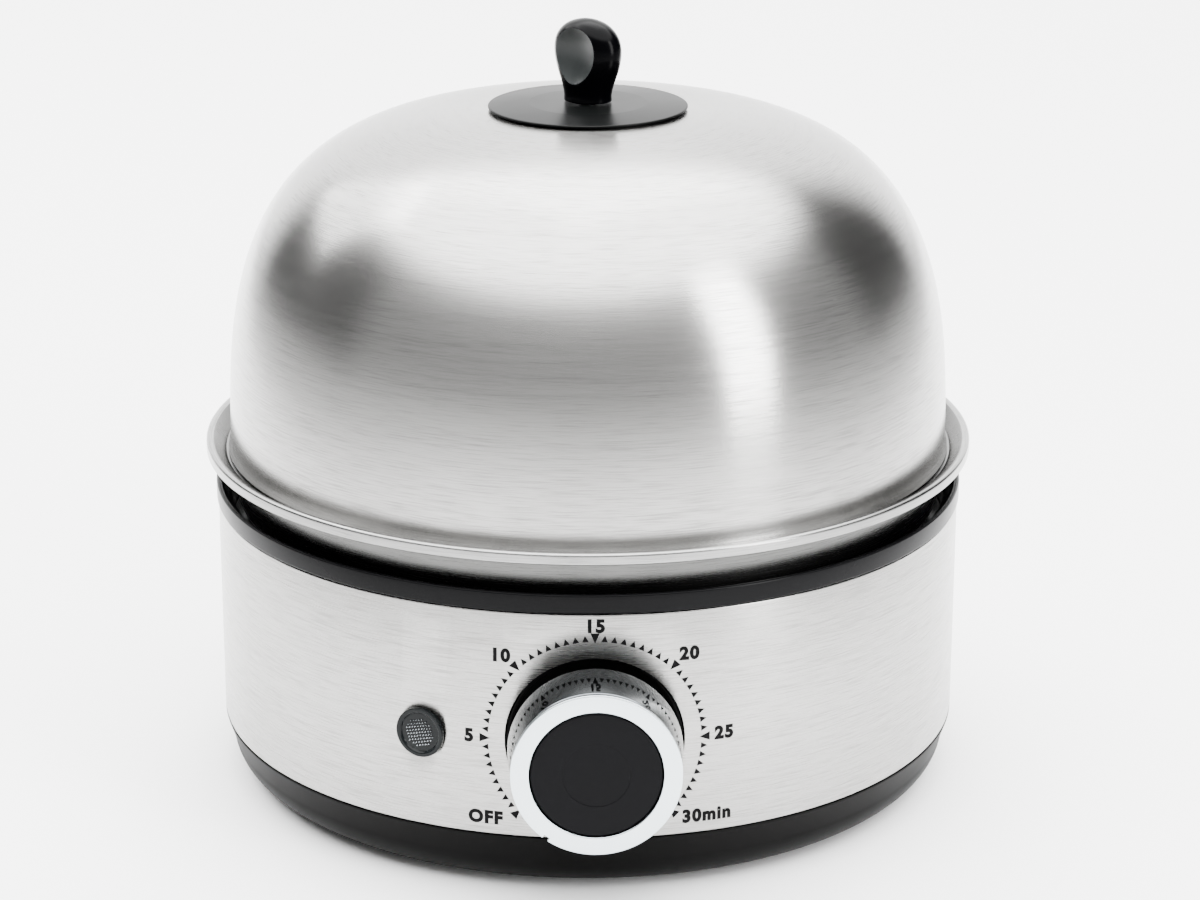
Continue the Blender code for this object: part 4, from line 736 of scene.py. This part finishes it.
def make_dome():
    """A superellipse of sheet above a short flare, with the stations closest at both ends."""
    wall = 0.8 * MM
    base = 78.2 * MM             # level of the widest section
    radius = 86.6 * MM - wall / 2
    rise = DOME_HIGH.z - base - wall / 2
    side_power, top_power = 3.6, 3.0
    edge = DOME_LOW.z
    flare_height = 2.4 * MM
    flare = DOME_HIGH.x - radius - wall / 2
    lowest = math.asin(((edge + flare_height - base) / rise) ** (top_power / 2))
    highest = math.acos((LID_HOLE_RADIUS / radius) ** (side_power / 2))
    ease_start = math.asin(math.sqrt(lowest / (math.pi / 2)))
    ease_end = math.asin(math.sqrt(highest / (math.pi / 2)))
    path = [
        (radius + flare, edge + 0.3 * MM), (radius + flare * 0.9, edge + flare_height * 0.25),
        (radius + flare * 0.35, edge + flare_height * 0.6),
    ]
    stations = 110
    for station in range(stations + 1):
        ease = ease_start + (ease_end - ease_start) * station / stations
        turn = math.pi / 2 * math.sin(ease) ** 2
        path.append((
            radius * math.cos(turn) ** (2 / side_power),
            base + rise * math.sin(turn) ** (2 / top_power),
        ))
    dome = turned(
        "domed_lid", sheet(path, wall), "lid", DOME_STEEL, STEPS, replaces=["dome_shell"],
        slot="dome_steel",
    )
    steam_hole = BODY @ Matrix.Translation((0, 46 * MM, 0))
    tool = round_cutter(1.8 * MM, base, DOME_HIGH.z + 4 * MM, steam_hole, 32)
    cut(dome, [tool], edge=0.15 * MM)


def make_disc():
    """The plate under the handle, falling slightly from its seat to its edge."""
    low, high, radius = DISC_LOW.z, DISC_HIGH.z, DISC_HIGH.x
    outline = soften([
        (LID_HOLE_RADIUS, low), (radius - 0.2 * MM, low), (radius, low + 0.15 * MM),
        (radius, low + 0.4 * MM), (radius - 0.3 * MM, low + 0.55 * MM),
        (14 * MM, high - 0.1 * MM), (7 * MM, high), (LID_HOLE_RADIUS, high),
    ], 0.12 * MM)
    turned("lid_plate", outline, "lid", DISC_BLACK, STEPS, replaces=["lid_disc"], slot="base_tray")


def make_handle():
    """A bulb that widens upwards, hollowed on both broad faces for finger and thumb."""
    foot, top = HANDLE_LOW.z, HANDLE_HIGH.z
    height = top - foot
    stations = (        # share of the height, half width and half depth in mm
        (0.000, 5.9, 5.2), (0.006, 6.1, 5.3), (0.06, 6.0, 5.1), (0.13, 6.3, 5.1), (0.26, 7.4, 5.3),
        (0.36, 8.4, 5.5), (0.45, 9.0, 5.7), (0.54, 9.4, 5.85), (0.62, 9.5, 5.9), (0.69, 9.4, 5.8),
        (0.76, 9.0, 5.6), (0.82, 8.3, 5.25), (0.88, 7.2, 4.65), (0.93, 5.8, 3.8), (0.965, 4.2, 2.8),
        (0.99, 2.3, 1.5), (1.0, 0.8, 0.5),
    )
    bm = bmesh.new()
    rings = []
    for share, half_width, half_depth in stations:
        ring = bmesh.ops.create_circle(bm, segments=64, radius=1)["verts"]
        shape = Matrix.Diagonal((half_width * MM, half_depth * MM, 1, 1))
        place = Matrix.Translation((0, 0, foot + share * height))
        bmesh.ops.transform(bm, matrix=place @ shape, verts=ring)
        rings.append(
            {edge for vert in ring for edge in vert.link_edges if edge.other_vert(vert) in ring},
        )
    for low, high in zip(rings, rings[1:]):
        bmesh.ops.bridge_loops(bm, edges=list(low | high))
    bmesh.ops.holes_fill(bm, edges=list(rings[0]) + list(rings[-1]))
    bmesh.ops.recalc_face_normals(bm, faces=bm.faces)
    upright = BODY @ Matrix.Rotation(math.radians(-45), 4, "Z")
    handle = add_piece(
        "finger_tab", bm, "lid", HANDLE_BLACK, upright, ["lid_handle"], "black_gloss",
        crease=50,
    )
    rounding = handle.modifiers.new("rounding", "SUBSURF")
    rounding.levels = 2
    rounding.render_levels = 2
    mesh = evaluated_mesh(handle)
    handle.modifiers.clear()
    handle.data = mesh
    tools = []
    for side in (-1, 1):
        scoop = bmesh.new()
        bmesh.ops.create_uvsphere(scoop, u_segments=128, v_segments=96, radius=14 * MM)
        place = Matrix.Translation((0, side * 17.0 * MM, foot + 0.62 * height))
        tools.append(cutter(scoop, upright @ place))
        # the hollows take the lightened resin, a painted sheen
        tools[-1].data.materials.append(FACET_BLACK)
    tools.append(round_cutter(LID_HOLE_RADIUS, foot - 1 * MM, foot + 10 * MM, BODY))
    cut(handle, tools, edge=0.22 * MM, crease=60)


def make_lid_fixing():
    low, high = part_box("handle_washer")
    outline = soften([
        (LID_HOLE_RADIUS, low.z), (high.x, low.z), (high.x, high.z), (LID_HOLE_RADIUS, high.z),
    ], 0.3 * MM)
    turned(
        "lid_washer", outline, "lid", ZINC, SMALL_STEPS, replaces=["handle_washer"],
        slot="zinc_steel",
    )
    low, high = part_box("handle_screw")
    head = low.z + 2.6 * MM
    outline = [(0, low.z), *soften([
        (2.8 * MM, low.z), (3.8 * MM, low.z + 1 * MM), (3.8 * MM, head), (2 * MM, head),
        (2 * MM, high.z),
    ], 0.4 * MM), (0, high.z)]
    screw = turned(
        "lid_screw", outline, "lid", ZINC, SMALL_STEPS, replaces=["handle_screw"],
        slot="zinc_steel",
    )
    cross_recess(screw, BODY, low.z, 4.4 * MM, 0.9 * MM, 2.6 * MM)


# --------------------------------------------------------------------- rack

def make_rack():
    """A plate with a turned-down rim and seven egg holes, on three legs, with two wire loops."""
    wall = 0.8 * MM
    egg_hole_radius, egg_circle, leg_circle = 17 * MM, 50 * MM, 72 * MM
    plate = RACK_HIGH.z - wall / 2
    rim = RACK_HIGH.x - wall / 2
    path = smooth_path([(0, plate), (rim, plate), (rim, RACK_LOW.z + 0.3 * MM)], 1.4 * MM)
    outline = sheet(path, wall)
    outline = [(0, plate + wall / 2)] + outline[1:-1] + [(0, plate - wall / 2)]
    rack = turned(
        "egg_plate", outline, "rack", RACK_STEEL, STEPS, replaces=["egg_rack"], slot="spun_steel",
    )
    places = [(0, 0)] + [(egg_circle, 60 * number) for number in range(6)]
    cut(rack, [
        round_cutter(egg_hole_radius, plate - 3 * MM, plate + 3 * MM, matrix, FINE_STEPS)
        for matrix in placed(places)
    ], edge=0.25 * MM)
    low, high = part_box("rack_leg_1")
    legs = placed([(leg_circle, angle) for angle in (30, 150, 270)])
    for number, matrix in enumerate(legs, 1):
        outline = [(0, low.z), *soften([
            (2.2 * MM, low.z), (2.2 * MM, high.z - 0.8 * MM), (3.2 * MM, high.z),
        ], 0.9 * MM), (0, high.z)]
        turned(
            f"rack_stud_{number}", outline, "rack", RACK_STEEL, SMALL_STEPS, matrix=matrix,
            replaces=[f"rack_leg_{number}"], slot="spun_steel",
        )
    low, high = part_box("rack_loop_1")
    radius = 1.2 * MM
    half, corner = 9 * MM, 4 * MM
    top = high.z - radius
    right = arc((half - corner, top - corner), corner, 0, 90, 14)
    outline = [(half, low.z), *right, *((-x, z) for x, z in reversed(right)), (-half, low.z)]
    for number, angle in enumerate((30, 210), 1):
        turn = BODY @ Matrix.Rotation(math.radians(angle - 90), 4, "Z")
        route = [turn @ Vector((x, leg_circle, z)) for x, z in outline]
        route = [point - Vector((0, AXIS_Y, 0)) for point in route]
        swept_wire(
            f"lifting_loop_{number}", route, radius, "rack", RACK_STEEL, [f"rack_loop_{number}"],
            "spun_steel",
        )


# --------------------------------------------------------------------- knob

def make_knob():
    """A core, a flared chrome skirt, a pearl ring with a notch at OFF and a black inlay."""
    face_rear = KNOB_REACH - 1.2 * MM
    skirt_front = face_rear - GAP
    skirt_rear = skirt_front - 12.6 * MM
    skirt_inside = KNOB_RADIUS - 1.3 * MM
    hub_radius = skirt_inside - GAP
    hub_front = face_rear - 0.9 * MM
    hub_rear = AXIS_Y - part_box("knob_hub")[1].y
    outline = [(0, hub_front), *soften([
        (hub_radius, hub_front), (hub_radius, skirt_rear + 0.4 * MM),
        (16.4 * MM, skirt_rear - 0.4 * MM), (16.4 * MM, hub_rear), (3.3 * MM, hub_rear),
        (3.3 * MM, hub_front - 5 * MM),
    ], 0.3 * MM), (0, hub_front - 5 * MM)]
    turned(
        "knob_core", outline, "knob", SATIN_BLACK, matrix=TIMER, replaces=["knob_hub"],
        slot="base_tray",
    )
    rear_radius = KNOB_RADIUS + KNOB_SKIRT_FLARE
    outline = soften([
        (skirt_inside, skirt_rear), (rear_radius, skirt_rear),
        (KNOB_RADIUS - 0.1 * MM, skirt_front), (skirt_inside, skirt_front),
    ], 0.55 * MM, 6)
    turned(
        "chrome_skirt", outline, "knob", CHROME, STEPS, matrix=TIMER, replaces=["knob_skirt"],
        slot="chrome",
    )
    inside = KNOB_CAP_RADIUS + GAP
    outline = soften([
        (inside, face_rear), (KNOB_RADIUS, face_rear), (KNOB_RADIUS, KNOB_REACH),
        (inside, KNOB_REACH),
    ], 0.3 * MM, 5)
    ring = turned(
        "face_ring", outline, "knob", SATIN_CHROME, STEPS, matrix=TIMER,
        replaces=["knob_face_ring"], slot="satin_chrome",
    )
    x, y = clock(KNOB_RADIUS, KNOB_OFF_ANGLE)
    notch = bmesh.new()
    size = Matrix.Diagonal((1.5 * MM, 1.8 * MM, 6 * MM, 1))
    bmesh.ops.create_cube(notch, size=1, matrix=size)
    place = Matrix.Translation((x, y, KNOB_REACH)) @ Matrix.Rotation(
        math.radians(-KNOB_OFF_ANGLE), 4, "Z",
    )
    cut(ring, [cutter(notch, TIMER @ place)], edge=0.12 * MM)
    cap_front = KNOB_REACH - 0.3 * MM
    outline = [(0, hub_front + GAP), *soften([
        (KNOB_CAP_RADIUS, hub_front + GAP), (KNOB_CAP_RADIUS, cap_front),
        (KNOB_CAP_RADIUS / 2, cap_front),
    ], 0.45 * MM, 6), (0, cap_front)]
    turned(
        "knob_inlay", outline, "knob", CAP_BLACK, STEPS, matrix=TIMER, replaces=["knob_cap"],
        slot="black_gloss",
    )


def make_well():
    """The cup behind the knob, which closes the hole in the band."""
    rear = AXIS_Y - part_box("knob_well")[1].y
    front = AXIS_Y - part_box("knob_well")[0].y
    radius = KNOB_HOLE_RADIUS - 0.4 * MM
    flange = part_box("knob_well")[1].x
    boss = 3.24 * MM
    outline = soften([
        (boss, rear), (flange, rear), (flange, rear + 1.1 * MM), (radius, rear + 1.1 * MM),
        (radius, front), (radius - 0.9 * MM, front), (radius - 0.9 * MM, rear + 1 * MM),
        (boss, rear + 1 * MM),
    ], 0.25 * MM)
    turned(
        "dial_well", outline, "base", SATIN_BLACK, STEPS, matrix=TIMER, replaces=["knob_well"],
        slot="base_tray",
    )


def print_on_band(name, bm, faces):
    """Gives flat artwork, drawn in the timer frame, its height and bends it round the band."""
    swept = bmesh.ops.extrude_face_region(bm, geom=faces)
    raised = [item for item in swept["geom"] if isinstance(item, bmesh.types.BMVert)]
    bmesh.ops.translate(bm, verts=raised, vec=(0, 0, INK_HEIGHT))
    for vert in bm.verts:
        angle = vert.co.x / BAND_RADIUS
        reach = BAND_RADIUS + INK_LIFT + vert.co.z
        vert.co = Vector((
            math.sin(angle) * reach, AXIS_Y - math.cos(angle) * reach, KNOB_LEVEL + vert.co.y,
        ))
    bmesh.ops.recalc_face_normals(bm, faces=bm.faces)
    add_piece(name, bm, "base", INK, Matrix.Identity(4), slot="black_gloss", crease=20)


def make_scale():
    """The printed minute scale: a large mark every five minutes, small ones between."""
    bm = bmesh.new()
    faces = []
    ring = 24.85 * MM
    for minute_angle in range(0, 271, 5):       # 270 degrees are 30 minutes
        angle = 225 + minute_angle
        major = minute_angle % 45 == 0
        half, reach = (1.02 * MM, 1.2 * MM) if major else (0.72 * MM, 0.76 * MM)
        outward = Vector(clock(1, angle))
        sideways = Vector((-outward.y, outward.x))
        centre = outward * ring
        tip, base = (-reach, reach) if major else (reach, -reach)
        corners = [
            centre + outward * tip, centre + outward * base + sideways * half,
            centre + outward * base - sideways * half,
        ]
        faces.append(bm.faces.new([bm.verts.new((*corner, 0)) for corner in corners]))
    print_on_band("minute_marks", bm, faces)


def make_numbers():
    """The printed figures, in a plain bold face."""
    labels = (          # text, x and y of its side or middle in mm, and which of the two
        ("OFF", -20.9, -19.4, "RIGHT"), ("5", -27.5, 0.1, "RIGHT"), ("10", -18.9, 20.0, "RIGHT"),
        ("15", 0, 27.6, "CENTER"), ("20", 18.9, 20.2, "LEFT"), ("25", 27.3, 0.3, "LEFT"),
        ("30min", 19.8, -19.2, "LEFT"),
    )
    bm = bmesh.new()
    for text, x, y, side in labels:
        curve = bpy.data.curves.new("label", "FONT")
        curve.body = text
        curve.size = 4.1 * MM
        curve.offset = 0.24 * MM
        curve.space_character = 1.16
        curve.resolution_u = 4
        curve.align_x = side
        curve.align_y = "CENTER"
        guide = new_object("label", curve)
        mesh = evaluated_mesh(guide)
        mesh.transform(Matrix.Translation((x * MM, y * MM, 0)))
        bpy.data.objects.remove(guide)
        bm.from_mesh(mesh)
    bmesh.ops.remove_doubles(bm, verts=bm.verts, dist=0.001 * MM)
    print_on_band("minute_numbers", bm, list(bm.faces))


# --------------------------------------------------------------------- lamp

def make_lamp():
    """The lens with its raised rim, the chamber behind it and the neon bulb."""
    rear = BAND_RADIUS + GAP / 2
    front = rear + 1.1 * MM
    face = front - 0.35 * MM
    tail = BAND_INSIDE - 5 * MM
    inside = LENS_BODY_RADIUS - 1 * MM
    outline = [(0, face), *soften([
        (LENS_RADIUS - 1.2 * MM, face), (LENS_RADIUS - 0.9 * MM, front), (LENS_RADIUS, front),
        (LENS_RADIUS, rear), (LENS_BODY_RADIUS, rear), (LENS_BODY_RADIUS, tail), (inside, tail),
        (inside, rear - 0.2 * MM),
    ], 0.22 * MM), (0, rear - 0.2 * MM)]
    turned(
        "pilot_lens", outline, "base", LENS, SMALL_STEPS * 2, matrix=LAMP, replaces=["lamp_lens"],
        slot="clear_plastic",
    )
    make_prisms(face, 3.2 * MM)
    holder_inside = LENS_BODY_RADIUS + GAP
    holder_wall = 1.1 * MM
    holder_outside = holder_inside + holder_wall
    flat_of_band = BAND_INSIDE * math.cos(math.pi / 32)      # the solid's band has 32 sides
    holder_front = math.sqrt(flat_of_band ** 2 - holder_outside ** 2) - GAP
    holder_rear = holder_front - 12 * MM
    outline = soften([
        (holder_inside, holder_front), (holder_outside, holder_front),
        (holder_outside, holder_rear), (1 * MM, holder_rear),
        (1 * MM, holder_rear + holder_wall), (holder_inside, holder_rear + holder_wall),
    ], 0.25 * MM)
    turned(
        "lamp_housing", outline, "base", DARK_CAVITY, SMALL_STEPS, matrix=LAMP,
        replaces=["lamp_holder"], slot="cream_plastic",
    )
    bulb_radius = 2.1 * MM
    bulb_rear = holder_rear + holder_wall + GAP
    bulb_front = rear - 1.8 * MM
    tip = arc((0, bulb_front - bulb_radius), bulb_radius, 0, 90, 14)
    outline = [(0, bulb_rear), (bulb_radius, bulb_rear), *tip]
    turned(
        "neon_bulb", outline, "base", NEON_GLASS, SMALL_STEPS, matrix=LAMP, replaces=["lamp_bulb"],
        slot="neon_glass",
    )


def make_prisms(level, reach):
    """The light-spreading grid of tiny pyramids on the lens, clipped to an eight-sided patch."""
    bm = bmesh.new()
    pitch, height = 0.74 * MM, 0.26 * MM
    rows = range(-4, 5)
    for across in rows:
        for up in rows:
            x, y = across * pitch, up * pitch
            if max(abs(x), abs(y)) > reach or abs(x) + abs(y) > reach * 1.4:
                continue
            bmesh.ops.create_cone(
                bm, cap_ends=True, segments=4, radius1=0.20 * MM, radius2=0.05 * MM,
                depth=height, matrix=Matrix.Translation((x, y, height / 2)),
            )
    turn = Matrix.Rotation(math.radians(15), 4, "Z")
    matrix = LAMP @ Matrix.Translation((0, 0, level)) @ turn
    add_piece("lens_prisms", bm, "base", PRISMS, matrix, slot="clear_plastic", crease=10)


def make_gland():
    """The flanged bushing that the mains cord would leave through."""
    head_rear = BAND_RADIUS + GAP
    front = head_rear + 1.8 * MM
    tail = front - 11.8 * MM
    bore, radius, head = 3.2 * MM, GLAND_RADIUS, 7 * MM
    outline = soften([
        (bore, tail), (radius, tail), (radius, head_rear), (head, head_rear), (head, front),
        (bore, front),
    ], 0.5 * MM)
    turned(
        "cord_bushing", outline, "base", SATIN_BLACK, SMALL_STEPS * 2, matrix=CORD,
        replaces=["cord_gland"], slot="base_tray",
    )


# ------------------------------------------------------ the rest of the frame

def finish_frame_nodes():
    """Gives the hidden mechanism its real finishes."""
    finishes = {
        ALUMINIUM: ["heater_plate", "heat_shield"],
        ELEMENT_STEEL: ["heater_element"],
        CERAMIC: ["thermostat"],
        ZINC: [
            "thermal_fuse", "pan_bracket", "clamp_nut", "timer_front_plate", "timer_back_plate",
            "timer_screw_1", "timer_screw_2", "bell_post", "hammer_pin", "gland_nut",
            "timer_shaft", "spring_barrel",
        ],
        BRASS: [
            "timer_pillar_1", "timer_pillar_2", "timer_pillar_3", "main_wheel", "second_wheel",
            "escape_wheel", "balance_wheel", "bell_hammer",
        ],
        RACK_STEEL: ["timer_bell"],
        CREAM: ["timer_switch", "terminal_block", "switch_cam"],
    }
    for material, names in finishes.items():
        for name in names:
            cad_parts[name].material_slots[0].material = material


# -------------------------------------------------------------------- studio

def make_floor():
    """White under and behind the appliance, with painted shade that greys it towards the camera and
    far to both sides.
    """
    bm = bmesh.new()
    bmesh.ops.create_circle(bm, cap_ends=True, segments=128, radius=4.0)
    mesh = new_mesh("studio_floor", bm)
    material, tree, shader = new_material("matt white studio floor", Roughness=0.75)
    place = add(tree, "TexCoord").outputs["Object"]
    cloud = add(tree, "TexNoise", {"Vector": place, "Scale": 2.0, "Detail": 2.0})
    across, along, _ = add(tree, "SeparateXYZ", {0: place}).outputs
    aside = add(tree, "Math", {0: across}, operation="ABSOLUTE").outputs[0]
    outside = add(tree, "Math", {0: along, 1: -0.3, 2: aside}, operation="MULTIPLY_ADD").outputs[0]
    # painted shade: the floor stays white only inside this window and greys outside it
    behind = window(tree, along, -0.46, 9.0, 0.22)
    between = window(tree, outside, -9.0, 0.42, 0.22)
    lit = add(tree, "Math", {0: behind, 1: between}, operation="MULTIPLY").outputs[0]
    shade = add(
        tree, "Math", {0: cloud.outputs[0], 1: 0.04, 2: lit}, operation="MULTIPLY_ADD",
        use_clamp=True,
    )
    blend_colours(tree, shader, shade.outputs[0], "#7A7A7A", "#FBFBFB")
    mesh.materials.append(material)
    new_object("studio_floor", mesh)


def add_light(name, place, target, size, power):
    """A rectangular softbox that faces the target."""
    light = bpy.data.lights.new(name, "AREA")
    light.shape = "RECTANGLE"
    light.size, light.size_y = size
    light.energy = power
    lamp = new_object(name, light)
    lamp.location = place
    lamp.rotation_euler = (Vector(target) - Vector(place)).to_track_quat("-Z", "Y").to_euler()


def window(tree, value, low, high, soft):
    """1 between low and high, with soft edges."""
    rise, fall = (
        add(
            tree, "MapRange", {"Value": value, "From Min": at - soft, "From Max": at + soft},
            interpolation_type="SMOOTHSTEP",
        ).outputs[0]
        for at in (low, high)
    )
    return add(tree, "Math", {0: rise, 1: fall}, operation="SUBTRACT").outputs[0]


def make_world():
    """A bright ceiling and wall behind, a dim panel on the camera side, little light elsewhere."""
    world = bpy.data.worlds.new("studio")
    bpy.context.scene.world = world
    world.use_nodes = True
    tree = world.node_tree
    tree.nodes.clear()
    direction = add(tree, "TexCoord").outputs["Generated"]
    across, along, up = add(tree, "SeparateXYZ", {0: direction}).outputs
    nearer = add(tree, "Math", {0: along, 1: -1}, operation="MULTIPLY").outputs[0]
    bearing = add(tree, "Math", {0: across, 1: nearer}, operation="ARCTAN2").outputs[0]
    turned_away = add(tree, "Math", {0: bearing}, operation="ABSOLUTE").outputs[0]
    total = None
    for value, low, high, soft, level in (
        (up, -2.0, 2.0, 0.1, 0.08),             # everywhere
        (up, 0.70, 2.0, 0.08, 10.0),            # ceiling
        (turned_away, 2.5, 4.0, 0.2, 4.5),      # wall behind, over 143 degrees from the camera
        (bearing, -1.40, 1.75, 0.15, 0.40),     # panel on the camera side
    ):
        zone = window(tree, value, low, high, soft)
        so_far = total or 0.0
        total = add(
            tree, "Math", {0: zone, 1: level, 2: so_far}, operation="MULTIPLY_ADD",
        ).outputs[0]
    background = add(tree, "Background", {"Color": (1, 1, 1, 1), "Strength": total})
    output = add(tree, "OutputWorld")
    tree.links.new(background.outputs[0], output.inputs["Surface"])


def make_lights():
    """A narrow strip for the long highlight at the right, and a weak fill from behind."""
    target = (0, AXIS_Y, 0.08)
    add_light("right strip", (0.80, -0.68, 0.50), target, (0.30, 1.0), 20.0)
    add_light("left back softbox", (-0.75, 0.55, 0.85), target, (0.6, 0.6), 8.0)


def make_camera():
    """The view from which the appliance is looked down on at about eighteen degrees."""
    camera = bpy.data.cameras.new("camera")
    camera.sensor_width = 36
    camera.lens = 98.8
    camera.shift_x = 0.0101
    camera.shift_y = -0.0369
    viewer = new_object("camera", camera)
    viewer.location = (-0.01334, AXIS_Y - 0.76408, 0.3308)
    viewer.rotation_euler = (math.radians(72.4), 0, math.radians(-1.0))
    bpy.context.scene.camera = viewer


make_tray()
make_feet()
make_screws()
make_band()
make_collar()
make_pan()
make_dome()
make_disc()
make_handle()
make_lid_fixing()
make_rack()
make_knob()
make_well()
make_scale()
make_numbers()
make_lamp()
make_gland()
finish_frame_nodes()
make_floor()
make_world()
make_lights()
make_camera()
